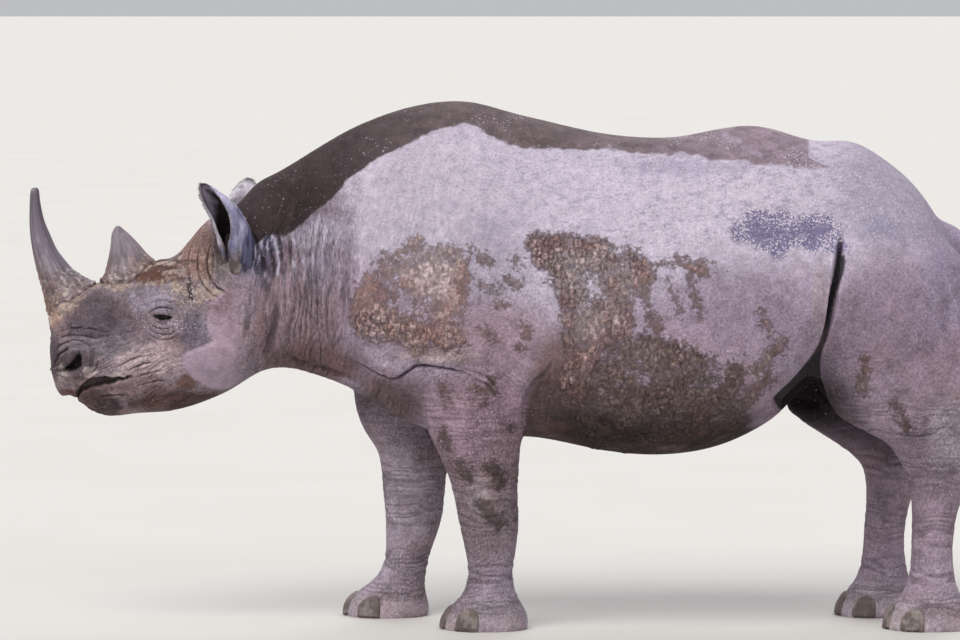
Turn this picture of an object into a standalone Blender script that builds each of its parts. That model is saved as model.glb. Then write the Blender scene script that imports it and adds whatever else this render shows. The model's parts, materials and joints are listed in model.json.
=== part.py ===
"""Black rhinoceros, life size, standing still, as a museum model in named parts.

The head looks along -X and the left side faces -Y. Metres, +Z up; the feet stand on Z = 0.
The flesh is modelled whole: the head, neck and trunk are one loft of upright rings, and each leg is a loft
of level rings. A voxel remesh joins them, lumps and creases shape the bones, muscles and folds, and thin cuts
then part the flesh into head, neck, trunk, legs and feet. Ears, eyes, horns, hooves and tail are added to it.
"""

import math

import bmesh
import bpy
import numpy as np
from mathutils import Matrix, Vector

# ---------------------------------------------------------------- driving sizes
VOXEL = 0.012  # the size of the remesh that joins the lofts
FLESH_TRIANGLES = 3980
GAP = 0.0005  # kept between neighbouring solids
BODY_SIDES = 56
LEG_SIDES = 32

# Side view of the head, neck and trunk: the top line and the underline, as (x, z).
TOP_LINE = (
    (-1.414, 0.880), (-1.398, 0.953), (-1.340, 1.006), (-1.230, 1.040), (-1.150, 1.062), (-1.100, 1.099),
    (-1.018, 1.134), (-0.979, 1.182), (-0.933, 1.233), (-0.850, 1.272), (-0.786, 1.342), (-0.706, 1.388),
    (-0.465, 1.528), (-0.278, 1.589), (-0.162, 1.600), (0.037, 1.554), (0.327, 1.493), (0.456, 1.486),
    (0.758, 1.521), (0.924, 1.477), (1.049, 1.471), (1.128, 1.427), (1.278, 1.276), (1.352, 1.138),
    (1.420, 0.950), (1.436, 0.890),
)
UNDER_LINE = (
    (-1.414, 0.780), (-1.398, 0.716), (-1.342, 0.700), (-1.300, 0.655), (-1.251, 0.634), (-1.150, 0.640),
    (-1.040, 0.648), (-0.882, 0.702), (-0.749, 0.776), (-0.557, 0.745), (-0.310, 0.610), (-0.186, 0.570),
    (0.062, 0.570), (0.310, 0.525), (0.433, 0.516), (0.681, 0.563), (0.789, 0.622), (0.930, 0.750),
    (1.161, 0.780), (1.385, 0.800), (1.436, 0.880),
)
# Top view: half the width at the widest level, as (x, y), and that level, as (x, z).
HALF_WIDTH = (
    (-1.414, 0.034), (-1.398, 0.072), (-1.340, 0.102), (-1.230, 0.112), (-1.084, 0.143), (-1.037, 0.154),
    (-0.860, 0.164), (-0.681, 0.186), (-0.557, 0.212), (-0.433, 0.250), (-0.310, 0.292), (-0.186, 0.326),
    (0.186, 0.383), (0.433, 0.418), (0.580, 0.424), (0.789, 0.402), (1.161, 0.345), (1.312, 0.275),
    (1.390, 0.170), (1.436, 0.040),
)
WIDE_LEVEL = (
    (-1.414, 0.835), (-1.300, 0.810), (-1.161, 0.820), (-1.037, 0.885), (-0.882, 0.925), (-0.749, 1.000),
    (-0.557, 1.050), (-0.310, 1.000), (-0.062, 0.930), (0.310, 0.865), (0.557, 0.880), (0.789, 0.960),
    (1.010, 1.050), (1.254, 1.010), (1.436, 0.885),
)
# How square the upper and lower halves of a ring are: 2 is an ellipse, less is a ridge, more is a box.
SQUARE_TOP = ((-1.414, 2.6), (-1.375, 3.4), (-1.290, 3.2), (-1.200, 2.7), (-1.037, 2.7), (-0.882, 2.2),
              (-0.681, 1.9), (-0.186, 1.75), (0.310, 1.95), (0.789, 1.80), (1.084, 1.95), (1.436, 2.0))
SQUARE_UNDER = ((-1.414, 2.2), (-1.230, 2.1), (-1.037, 1.9), (-0.882, 1.9), (-0.681, 2.0), (-0.186, 2.1),
                (0.310, 2.3), (0.789, 2.2), (1.436, 2.0))

# Legs: (z, half its length front to back, half its width). The centre lines are (z, x) for each leg.
FORELEG = (
    (-0.040, 0.130, 0.120), (0.000, 0.130, 0.120), (0.030, 0.128, 0.119), (0.067, 0.110, 0.106),
    (0.100, 0.085, 0.089), (0.141, 0.071, 0.076), (0.190, 0.070, 0.073), (0.237, 0.078, 0.077),
    (0.290, 0.087, 0.082),
    (0.343, 0.093, 0.086), (0.400, 0.098, 0.090), (0.446, 0.104, 0.094), (0.505, 0.118, 0.100),
    (0.566, 0.136, 0.108), (0.620, 0.150, 0.116), (0.690, 0.164, 0.126), (0.746, 0.186, 0.137),
    (0.820, 0.215, 0.148), (0.900, 0.210, 0.150), (1.000, 0.180, 0.135), (1.060, 0.120, 0.100),
)
HINDLEG = (
    (-0.040, 0.130, 0.118), (0.000, 0.130, 0.118), (0.030, 0.128, 0.117), (0.073, 0.109, 0.102),
    (0.110, 0.086, 0.084), (0.150, 0.072, 0.074), (0.200, 0.066, 0.069), (0.287, 0.065, 0.068),
    (0.364, 0.072, 0.072),
    (0.430, 0.088, 0.079), (0.480, 0.099, 0.086), (0.520, 0.110, 0.093), (0.569, 0.130, 0.106),
    (0.613, 0.178, 0.122), (0.637, 0.203, 0.130), (0.685, 0.232, 0.145), (0.760, 0.253, 0.162),
    (0.835, 0.257, 0.174), (0.903, 0.248, 0.182), (1.017, 0.225, 0.182), (1.140, 0.175, 0.165),
    (1.220, 0.090, 0.110),
)
LEG_LINES = {
    "foreleg_left": ((0.0, -0.084), (0.049, -0.078), (0.092, -0.071), (0.177, -0.066), (0.284, -0.068),
                     (0.388, -0.079), (0.505, -0.095), (0.566, -0.108), (0.690, -0.120), (0.870, -0.110),
                     (1.060, -0.090)),
    "foreleg_right": ((0.0, -0.388), (0.067, -0.376), (0.107, -0.350), (0.141, -0.334), (0.197, -0.321),
                      (0.302, -0.304), (0.440, -0.302), (0.505, -0.296), (0.566, -0.318), (0.677, -0.329),
                      (0.870, -0.240), (1.060, -0.140)),
    "hindleg_left": ((0.0, 1.262), (0.10, 1.272), (0.287, 1.276), (0.364, 1.283), (0.430, 1.292),
                     (0.480, 1.286), (0.569, 1.258), (0.637, 1.203), (0.760, 1.192), (0.903, 1.194),
                     (1.017, 1.190), (1.220, 1.170)),
    "hindleg_right": ((0.0, 1.140), (0.10, 1.152), (0.287, 1.160), (0.364, 1.172), (0.430, 1.184),
                      (0.467, 1.183), (0.520, 1.136), (0.569, 1.080), (0.623, 1.062), (0.685, 1.066),
                      (0.760, 1.095), (0.903, 1.150), (1.017, 1.175), (1.220, 1.170)),
}
# How far each leg's line is from the middle plane, as (z, y).
LEG_STANCE = ((0.0, 0.182), (0.379, 0.184), (0.746, 0.200), (1.000, 0.190), (1.220, 0.150))
SIDE = {"left": -1.0, "right": 1.0}

EYE = Vector((-1.061, 0.132, 0.946))
EYE_RADIUS = 0.024

# Horns: rings from the base to the tip, each as its front (x, z), its back (x, z) and half its width.
HORN_FRONT = (
    ((-1.375, 0.930), (-1.285, 0.990), 0.058), ((-1.420, 0.944), (-1.274, 1.040), 0.076),
    ((-1.432, 0.985), (-1.288, 1.050), 0.076), ((-1.441, 1.025), (-1.315, 1.066), 0.066),
    ((-1.452, 1.068), (-1.345, 1.085), 0.055), ((-1.462, 1.110), (-1.370, 1.113), 0.047),
    ((-1.469, 1.145), (-1.394, 1.146), 0.040), ((-1.475, 1.190), (-1.414, 1.190), 0.032),
    ((-1.477, 1.235), (-1.432, 1.235), 0.024), ((-1.476, 1.287), (-1.443, 1.287), 0.017),
    ((-1.473, 1.322), (-1.447, 1.323), 0.013), ((-1.467, 1.332), (-1.453, 1.333), 0.007),
)
HORN_REAR = (
    ((-1.235, 1.000), (-1.100, 1.040), 0.045), ((-1.262, 1.044), (-1.078, 1.090), 0.062),
    ((-1.252, 1.062), (-1.095, 1.112), 0.055), ((-1.243, 1.089), (-1.118, 1.132), 0.046),
    ((-1.234, 1.125), (-1.140, 1.157), 0.036), ((-1.228, 1.160), (-1.158, 1.176), 0.028),
    ((-1.225, 1.190), (-1.175, 1.193), 0.020), ((-1.216, 1.210), (-1.190, 1.206), 0.011),
    ((-1.208, 1.216), (-1.198, 1.214), 0.005),
)
# Ears: the middle of the root, the tip and the way the cup opens, for the left side of the animal.
EARS = {
    "left": (Vector((-0.822, -0.130, 1.100)), Vector((-0.930, -0.215, 1.352)), Vector((-0.80, -0.60, 0.0))),
    "right": (Vector((-0.862, 0.125, 1.095)), Vector((-0.812, 0.205, 1.354)), Vector((-0.20, 0.95, 0.0))),
}
# Along the ear: (share of its length, half its width, half its depth, half the opening in degrees, wall).
EAR_SHAPE = (
    (0.00, 0.054, 0.052, 6, 0.034), (0.15, 0.058, 0.054, 8, 0.024), (0.30, 0.062, 0.052, 20, 0.016),
    (0.45, 0.063, 0.047, 44, 0.011), (0.60, 0.059, 0.039, 60, 0.009), (0.75, 0.050, 0.029, 68, 0.008),
    (0.88, 0.034, 0.018, 74, 0.007), (0.96, 0.018, 0.010, 78, 0.006), (1.00, 0.007, 0.005, 80, 0.004),
)
# Tail: (x, z, radius) from its root to its end.
TAIL = (
    (1.260, 1.200, 0.046), (1.330, 1.185, 0.042), (1.400, 1.130, 0.035), (1.445, 1.050, 0.029),
    (1.470, 0.940, 0.024), (1.478, 0.820, 0.020), (1.478, 0.700, 0.016), (1.476, 0.610, 0.013),
    (1.476, 0.592, 0.007),
)
# Hooves: (direction in degrees from straight ahead, half its width, half its height) of each plate.
HOOVES = {"middle": (0, 0.050, 0.056), "inner": (-62, 0.040, 0.050), "outer": (62, 0.040, 0.050)}
HOOF_THICKNESS = 0.009
HOOF_LIFT = 0.003  # their lower edge above the floor

# Cuts: a leg leaves the trunk at this height (2 dm from the middle plane), on a slope rising outwards.
LEG_TOP = {"foreleg": 0.700, "hindleg": 0.920}
LEG_CUT_SLOPE = {"foreleg": 0.3, "hindleg": 0.8}
LEG_CUT_MARGIN = {"foreleg": 0.040, "hindleg": 0.000}  # beyond the leg's own outline, at the top
HEAD_CUT = ((-0.845, 1.340), (-0.735, 0.700))
NECK_CUT = ((-0.560, 1.500), (-0.455, 0.640))
CENTRE_X = 0.0105  # middle of the length, moved to X = 0 at the end

SKIN = (0.235, 0.190, 0.215)
EAR_SKIN = (0.110, 0.090, 0.105)
HORN_COLOUR = (0.170, 0.140, 0.150)
HOOF_COLOUR = (0.090, 0.070, 0.062)
EYE_COLOUR = (0.012, 0.008, 0.007)

# Lumps raise or lower the skin: (centre, reach along each axis, height). They are mirrored.
LUMPS = (
    ((-1.058, 0.150, 0.990), (0.080, 0.080, 0.036), 0.014),   # brow
    ((-1.050, 0.160, 0.900), (0.090, 0.080, 0.038), 0.008),   # cheekbone under the eye
    ((-1.062, 0.160, 0.946), (0.045, 0.060, 0.024), -0.010),  # eye socket
    ((-0.940, 0.160, 0.905), (0.110, 0.080, 0.045), 0.008),   # cheekbone's arch
    ((-0.872, 0.160, 0.815), (0.135, 0.110, 0.120), 0.022),   # chewing muscle
    ((-1.175, 0.120, 0.900), (0.100, 0.080, 0.090), -0.010),  # hollow of the face
    ((-1.330, 0.100, 0.800), (0.060, 0.070, 0.060), 0.012),   # nostril's wing
    ((-1.332, 0.110, 0.787), (0.028, 0.060, 0.022), -0.022),  # nostril
    ((-1.240, 0.090, 0.665), (0.090, 0.070, 0.045), 0.008),   # lower lip
    ((-0.830, 0.140, 1.090), (0.090, 0.080, 0.090), 0.014),   # root of the ear
    ((-0.150, 0.300, 1.180), (0.260, 0.260, 0.380), 0.014),   # shoulder blade
    ((-0.060, 0.340, 0.900), (0.260, 0.240, 0.230), 0.020),   # upper arm
    ((0.190, 0.380, 1.080), (0.130, 0.200, 0.340), -0.010),   # hollow behind the shoulder
    ((0.800, 0.260, 1.370), (0.160, 0.200, 0.130), 0.014),    # point of the hip
    ((0.665, 0.340, 1.290), (0.140, 0.200, 0.130), -0.010),   # hollow of the loin
    ((1.120, 0.330, 1.120), (0.220, 0.220, 0.250), 0.012),    # muscle of the rump
    ((1.060, 0.360, 0.780), (0.170, 0.180, 0.180), 0.010),    # knee
    ((0.880, 0.360, 0.950), (0.100, 0.200, 0.220), 0.014),    # fold of the flank
)
# Creases: (route as (x, z), half its width, depth, sides). They are pressed into the flank from outside.
CREASES = (
    (((0.984, 1.180), (0.970, 1.090), (0.958, 1.000), (0.938, 0.900), (0.905, 0.830), (0.860, 0.770)),
     0.028, 0.040, "left"),
    (((0.984, 1.180), (0.966, 1.090), (0.946, 1.000), (0.905, 0.900), (0.862, 0.830), (0.810, 0.760)),
     0.028, 0.040, "right"),
    (((-1.165, 0.757), (-1.214, 0.750), (-1.253, 0.747), (-1.296, 0.735), (-1.325, 0.706)),
     0.014, 0.014, "both"),
)


# ---------------------------------------------------------------- helpers
def clear_scene():
    for obj in list(bpy.data.objects):
        bpy.data.objects.remove(obj)


def curve(keys):
    """A smooth function through (place, value) keys, with the slope at each key from its neighbours."""
    place, value = (np.array(column, float) for column in zip(*keys))
    slope = np.gradient(value, place)

    def at(t):
        t = np.clip(t, place[0], place[-1])
        i = np.clip(np.searchsorted(place, t) - 1, 0, len(place) - 2)
        width = place[i + 1] - place[i]
        u = (t - place[i]) / width
        return (
            value[i] * (1 + 2 * u) * (1 - u) ** 2
            + value[i + 1] * u**2 * (3 - 2 * u)
            + slope[i] * width * u * (1 - u) ** 2
            - slope[i + 1] * width * u**2 * (1 - u)
        )

    return at


def material(name, colour, roughness):
    made = bpy.data.materials.new(name)
    made.use_nodes = True
    shader = made.node_tree.nodes["Principled BSDF"]
    shader.inputs["Base Color"].default_value = (*colour, 1.0)
    shader.inputs["Roughness"].default_value = roughness
    return made


def add_object(name, mesh, finish=None):
    obj = bpy.data.objects.new(name, mesh)
    bpy.context.scene.collection.objects.link(obj)
    if finish:
        mesh.materials.clear()
        mesh.materials.append(finish)
    return obj


def mesh_from(bm, name):
    bmesh.ops.recalc_face_normals(bm, faces=bm.faces)
    mesh = bpy.data.meshes.new(name)
    bm.to_mesh(mesh)
    bm.free()
    return mesh


def loft(name, rings):
    """A closed mesh through rings of the same number of points, with a fan over each end."""
    bm = bmesh.new()
    loops = [[bm.verts.new(point) for point in ring] for ring in rings]
    for a, b in zip(loops, loops[1:]):
        for i in range(len(a)):
            j = (i + 1) % len(a)
            bm.faces.new((a[i], a[j], b[j], b[i]))
    for loop in (loops[0], loops[-1]):
        bm.faces.new(loop)
    bmesh.ops.triangulate(bm, faces=[f for f in bm.faces if len(f.verts) > 4])
    return mesh_from(bm, name)


def superellipse(angle, square):
    """(sideways, upwards) on a unit superellipse, from the top round to the right."""
    power = 2.0 / square
    s, c = math.sin(angle), math.cos(angle)
    return math.copysign(abs(s) ** power, s), math.copysign(abs(c) ** power, c)


def applied(obj):
    """The object's mesh with its modifiers in it; the object is removed."""
    graph = bpy.context.evaluated_depsgraph_get()
    mesh = bpy.data.meshes.new_from_object(obj.evaluated_get(graph))
    bpy.data.objects.remove(obj)
    return mesh


def with_modifiers(mesh, *settings):
    """The mesh after modifiers, each given as (type, values)."""
    obj = add_object("working", mesh)
    for kind, values in settings:
        modifier = obj.modifiers.new(kind, kind)
        for key, value in values.items():
            setattr(modifier, key, value)
    return applied(obj)


def boolean(mesh, cutter, operation, solver="EXACT"):
    other = add_object("cutter", cutter)
    made = with_modifiers(mesh, ("BOOLEAN", {"operation": operation, "object": other, "solver": solver}))
    bpy.data.objects.remove(other)
    return made


def joined(meshes):
    bm = bmesh.new()
    for mesh in meshes:
        bm.from_mesh(mesh)
    mesh = bpy.data.meshes.new("joined")
    bm.to_mesh(mesh)
    bm.free()
    return mesh


def points_of(mesh):
    found = np.empty(len(mesh.vertices) * 3)
    mesh.vertices.foreach_get("co", found)
    return found.reshape(-1, 3)


def normals_of(mesh):
    found = np.empty(len(mesh.vertices) * 3)
    mesh.vertex_normals.foreach_get("vector", found)
    return found.reshape(-1, 3)


def set_points(mesh, points):
    mesh.vertices.foreach_set("co", points.ravel())
    mesh.update()


def inflated(mesh, by):
    """A copy of the mesh, grown along its normals."""
    made = mesh.copy()
    set_points(made, points_of(mesh) + normals_of(mesh) * by)
    return made


def bell(distance):
    """1 at the middle, falling smoothly to 0 at distance 1."""
    return np.clip(1 - distance**2, 0, 1) ** 2


def distance_to_route(points, route):
    """Distance of 2-D points from a line through the route's points."""
    best = np.full(len(points), 9.0)
    for a, b in zip(route, route[1:]):
        a, b = np.array(a), np.array(b)
        along = np.clip((points - a) @ (b - a) / ((b - a) @ (b - a)), 0, 1)
        best = np.minimum(best, np.linalg.norm(points - a - along[:, None] * (b - a), axis=1))
    return best


# ---------------------------------------------------------------- flesh
def body_rings():
    top, under, width = curve(TOP_LINE), curve(UNDER_LINE), curve(HALF_WIDTH)
    level, square_top, square_under = curve(WIDE_LEVEL), curve(SQUARE_TOP), curve(SQUARE_UNDER)
    start, end = TOP_LINE[0][0], TOP_LINE[-1][0]
    places = sorted({*np.linspace(start, end, 110), *(x for x, _ in TOP_LINE), *(x for x, _ in UNDER_LINE)})
    for x in places:
        ring = []
        for i in range(BODY_SIDES):
            angle = 2 * math.pi * i / BODY_SIDES
            upper = math.cos(angle) >= 0
            y, z = superellipse(angle, square_top(x) if upper else square_under(x))
            reach = top(x) - level(x) if upper else level(x) - under(x)
            ring.append((x, y * width(x), level(x) + z * reach))
        yield ring


def leg_rings(name):
    shape = FORELEG if name.startswith("fore") else HINDLEG
    side = SIDE[name.split("_")[1]]
    length = curve([(z, a) for z, a, _ in shape])
    width = curve([(z, b) for z, _, b in shape])
    line, stance = curve(LEG_LINES[name]), curve(LEG_STANCE)
    for z in np.linspace(shape[0][0], shape[-1][0], 60):
        ring = []
        for i in range(LEG_SIDES):
            y, x = superellipse(2 * math.pi * i / LEG_SIDES, 2.2)
            ring.append((line(z) + x * length(z), side * stance(z) + y * width(z), z))
        yield ring


def junction_weights(points):
    """How strongly the skin is relaxed at each point: most where the legs meet the trunk."""
    weight = np.full(len(points), 0.25)
    for x, z, reach in ((-0.15, 0.70, 0.34), (1.15, 0.85, 0.34)):
        near = bell(np.hypot(points[:, 0] - x, points[:, 2] - z) / reach)
        weight = np.maximum(weight, 0.25 + near)
    weight[points[:, 0] < -0.75] = 0.12
    weight[points[:, 2] < 0.05] = 0.0
    return np.clip(weight, 0, 1)


def relaxed(mesh, rounds):
    obj = add_object("working", mesh)
    group = obj.vertex_groups.new(name="relax")
    for i, weight in enumerate(junction_weights(points_of(mesh))):
        group.add([i], float(weight), "REPLACE")
    smooth = obj.modifiers.new("smooth", "SMOOTH")
    smooth.factor, smooth.iterations, smooth.vertex_group = 0.5, rounds, "relax"
    return applied(obj)


def shape_skin(mesh):
    """Presses the lumps and creases into the flesh."""
    points, normals = points_of(mesh), normals_of(mesh)
    rise = np.zeros(len(points))
    for centre, reach, height in LUMPS:
        for side in (-1, 1) if centre[1] else (1,):
            middle = np.array(centre) * (1, side, 1)
            rise += height * bell(np.linalg.norm((points - middle) / reach, axis=1))
    for route, width, depth, sides in CREASES:
        near = distance_to_route(points[:, [0, 2]], route) / width
        for name, side in SIDE.items():
            if sides in (name, "both"):
                rise -= depth * bell(near) * np.clip(side * normals[:, 1] * 1.6, 0, 1)
    set_points(mesh, points + normals * rise[:, None])


def block(low, high):
    """A box between two corners."""
    bm = bmesh.new()
    bmesh.ops.create_cube(bm, size=1.0)
    low, high = Vector(low), Vector(high)
    place = Matrix.Translation((low + high) / 2) @ Matrix.Diagonal((*(high - low), 1.0))
    bmesh.ops.transform(bm, matrix=place, verts=bm.verts)
    return mesh_from(bm, "block")


def whole_flesh():
    lofts = [loft("body", list(body_rings()))]
    lofts += [loft(name, list(leg_rings(name))) for name in LEG_LINES]
    mesh = with_modifiers(joined(lofts), ("REMESH", {"mode": "VOXEL", "voxel_size": VOXEL}))
    mesh = relaxed(mesh, 40)
    shape_skin(mesh)
    ratio = FLESH_TRIANGLES / (2 * len(mesh.polygons))
    return with_modifiers(mesh, ("DECIMATE", {"ratio": ratio}), ("TRIANGULATE", {}))


# ---------------------------------------------------------------- cuts
def leg_cutter(name, growth):
    """A solid round one leg: from the floor up to a slope, and from near the middle to past the skin."""
    kind, side_name = name.split("_")
    shape = FORELEG if kind == "foreleg" else HINDLEG
    length, line = curve([(z, a) for z, a, _ in shape]), curve(LEG_LINES[name])
    rings = []
    for z in np.linspace(0.0, LEG_TOP[kind], 10):
        rise = LEG_CUT_SLOPE[kind] * (z / LEG_TOP[kind]) ** 2
        top = growth if z == LEG_TOP[kind] else 0.0
        share = min(max((z - 0.55) / (LEG_TOP[kind] - 0.55), 0.0), 1.0)
        margin = 0.035 + (LEG_CUT_MARGIN[kind] - 0.035) * share
        ring = []
        for i in range(18):
            y, x = superellipse(2 * math.pi * i / 18, 2.6)
            y = 0.045 - growth + (0.55 + 2 * growth) * (1 + y) / 2
            x *= length(z) + margin + growth
            ring.append((line(z) + x, SIDE[side_name] * y, z + top + rise * (y - 0.2)))
        rings.append(ring)
    bm = bmesh.new()
    bm.from_mesh(loft("leg_cutter", rings))
    bmesh.ops.triangulate(bm, faces=bm.faces)
    return mesh_from(bm, "leg_cutter")


def slab(front, back):
    """A block between two sloping planes across the body, each given as two (x, z) points; None is open."""
    def at(line, z, otherwise):
        if line is None:
            return otherwise
        (x0, z0), (x1, z1) = line
        return x0 + (x1 - x0) * (z - z0) / (z1 - z0)

    rings = []
    for z in (-0.2, 1.9):
        a, b = at(front, z, -2.0) + GAP / 2, at(back, z, 2.0) - GAP / 2
        rings.append([(a, -0.8, z), (b, -0.8, z), (b, 0.8, z), (a, 0.8, z)])
    return loft("slab", rings)


def largest(mesh):
    """The mesh's largest connected piece."""
    bm = bmesh.new()
    bm.from_mesh(mesh)
    bmesh.ops.remove_doubles(bm, verts=bm.verts, dist=1e-6)
    bmesh.ops.dissolve_degenerate(bm, edges=bm.edges, dist=1e-6)
    bmesh.ops.triangulate(bm, faces=bm.faces)
    left, pieces = set(bm.verts), []
    while left:
        stack = [left.pop()]
        piece = list(stack)
        while stack:
            for edge in stack.pop().link_edges:
                for vert in edge.verts:
                    if vert in left:
                        left.remove(vert)
                        stack.append(vert)
                        piece.append(vert)
        pieces.append(piece)
    pieces.sort(key=len)
    bmesh.ops.delete(bm, geom=[v for piece in pieces[:-1] for v in piece], context="VERTS")
    return mesh_from(bm, mesh.name)


# ---------------------------------------------------------------- horns, ears, eyes, tail, hooves
def horn(stations, sides=16):
    rings = []
    for (fx, fz), (bx, bz), half in stations:
        ring = []
        for i in range(sides):
            a = 2 * math.pi * i / sides
            along = (1 - math.cos(a)) / 2
            ring.append((fx + (bx - fx) * along, half * math.sin(a), fz + (bz - fz) * along))
        rings.append(ring)
    return loft("horn", rings)


def ear(root, tip, opening, steps=9, arc=8):
    """A leaf rolled into a cup: each ring is a crescent, open on one side."""
    axis = (tip - root).normalized()
    front = (opening - opening.dot(axis) * axis).normalized()
    across = axis.cross(front)
    width, depth, gap, thick = (curve([(row[0], row[k]) for row in EAR_SHAPE]) for k in (1, 2, 3, 4))
    rings = []
    for step in range(steps + 1):
        t = step / steps
        bow = 0.022 * math.sin(math.pi * t)
        middle = root.lerp(tip, t) - front * bow
        half_gap = math.radians(gap(t))
        angles = [half_gap + (2 * math.pi - 2 * half_gap) * k / (arc - 1) for k in range(arc)]
        ring = []
        for inward, order in ((0.0, angles), (thick(t), reversed(angles))):
            a, b = max(width(t) - inward, 0.002), max(depth(t) - inward, 0.0015)
            ring += [middle + front * b * math.cos(g) + across * a * math.sin(g) for g in order]
        rings.append(ring)
    return loft("ear", rings)


def tail():
    rings = []
    for k, (x, z, radius) in enumerate(TAIL):
        ahead, behind = TAIL[min(k + 1, len(TAIL) - 1)], TAIL[max(k - 1, 0)]
        along = Vector((ahead[0] - behind[0], 0, ahead[1] - behind[1])).normalized()
        out = Vector((0, 1, 0)).cross(along)
        ring = []
        for i in range(14):
            a = 2 * math.pi * i / 14
            ring.append(Vector((x, 0, z)) + radius * (math.cos(a) * out + math.sin(a) * Vector((0, 1, 0))))
        rings.append(ring)
    return loft("tail", rings)


def ball(centre, reach, turn=0.0, detail=3):
    bm = bmesh.new()
    bmesh.ops.create_icosphere(bm, subdivisions=detail, radius=1.0)
    place = Matrix.Translation(centre) @ Matrix.Rotation(turn, 4, "Z") @ Matrix.Diagonal((*reach, 1.0))
    bmesh.ops.transform(bm, matrix=place, verts=bm.verts)
    return mesh_from(bm, "ball")


def hoof(leg_name, kind, flesh, grown):
    """A horny plate that follows the front of the foot and stands just clear of the floor."""
    degrees, half_width, half_height = HOOVES[kind]
    name, side_name = leg_name.split("_")
    side = SIDE[side_name]
    turn = math.radians(degrees) * side
    shape = FORELEG if name == "foreleg" else HINDLEG
    foot_x, foot_y = LEG_LINES[leg_name][0][1], side * LEG_STANCE[0][1]
    direction = Vector((-math.cos(turn), math.sin(turn), 0))
    radius = 1 / math.hypot(direction.x / shape[1][1], direction.y / shape[1][2])
    centre = Vector((foot_x, foot_y, 0.018)) + direction * radius
    outline = bmesh.new()
    bmesh.ops.create_cone(outline, cap_ends=True, segments=12, radius1=1.0, radius2=1.0, depth=2.0)
    stand = Matrix.Diagonal((0.055, half_width, half_height, 1.0)) @ Matrix.Rotation(math.pi / 2, 4, "Y")
    place = Matrix.Translation(centre) @ Matrix.Rotation(-turn, 4, "Z") @ stand
    bmesh.ops.transform(outline, matrix=place, verts=outline.verts)
    outline = boolean(mesh_from(outline, "outline"), block((-3, -1, HOOF_LIFT), (3, 1, 1)), "INTERSECT")
    plate = boolean(outline, inflated(flesh, HOOF_THICKNESS), "INTERSECT")
    return largest(boolean(plate, grown.copy(), "DIFFERENCE"))


# ---------------------------------------------------------------- the whole animal
def main():
    clear_scene()
    skin = material("Mud_Grey_Skin", SKIN, 0.85)
    ear_skin = material("Ear_Skin", EAR_SKIN, 0.8)
    horn_stuff = material("Horn", HORN_COLOUR, 0.65)
    hoof_stuff = material("Hoof", HOOF_COLOUR, 0.7)
    eye_stuff = material("Eye", EYE_COLOUR, 0.1)

    flesh = whole_flesh()
    nodes = {}
    core = flesh.copy()
    for name in LEG_LINES:
        nodes[name] = (largest(boolean(flesh.copy(), leg_cutter(name, 0.0), "INTERSECT")), skin)
        core = boolean(core, leg_cutter(name, GAP), "DIFFERENCE")
    nodes["head"] = (largest(boolean(core.copy(), slab(None, HEAD_CUT), "INTERSECT")), skin)
    nodes["neck"] = (largest(boolean(core.copy(), slab(HEAD_CUT, NECK_CUT), "INTERSECT")), skin)
    nodes["trunk"] = (largest(boolean(core, slab(NECK_CUT, None), "INTERSECT")), skin)

    for name, side in SIDE.items():
        centre = EYE * 1.0
        centre.y *= side
        eye = ball(centre, (EYE_RADIUS,) * 3, detail=2)
        nodes["head"] = (largest(boolean(nodes["head"][0], inflated(eye, GAP), "DIFFERENCE")), skin)
        nodes["eye_" + name] = (eye, eye_stuff)
    grown = inflated(flesh, GAP)
    for name, stations in (("horn_front", HORN_FRONT), ("horn_rear", HORN_REAR)):
        nodes[name] = (largest(boolean(horn(stations), grown.copy(), "DIFFERENCE")), horn_stuff)
    for name, (root, tip, opening) in EARS.items():
        # The exact solver loses one of these thin cups altogether.
        cup = boolean(ear(root, tip, opening), grown.copy(), "DIFFERENCE", "MANIFOLD")
        nodes["ear_" + name] = (largest(cup), ear_skin)
    nodes["tail"] = (largest(boolean(tail(), grown.copy(), "DIFFERENCE")), skin)
    for name in LEG_LINES:
        for kind in HOOVES:
            nodes[f"hoof_{name}_{kind}"] = (hoof(name, kind, flesh, grown), hoof_stuff)

    for name, (mesh, finish) in nodes.items():
        mesh.transform(Matrix.Translation((-CENTRE_X, 0, 0)))
        mesh.name = name
        add_object(name, mesh, finish)


main()
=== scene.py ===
"""Looks of the life-size black rhinoceros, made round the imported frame.

One skin stands for all the flesh: the same lofts as the frame's solids, joined by a finer remesh, with folds,
wrinkles, eyelids, nostrils, mouth and dried mud modelled in it. Eyes, horns, hooves, bristles and lashes are
pieces of their own. The head looks along -X, the left side faces -Y. Metres, +Z up.
"""

import json
import math

import bmesh
import bpy
import numpy as np
from mathutils import Matrix, Vector

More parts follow.
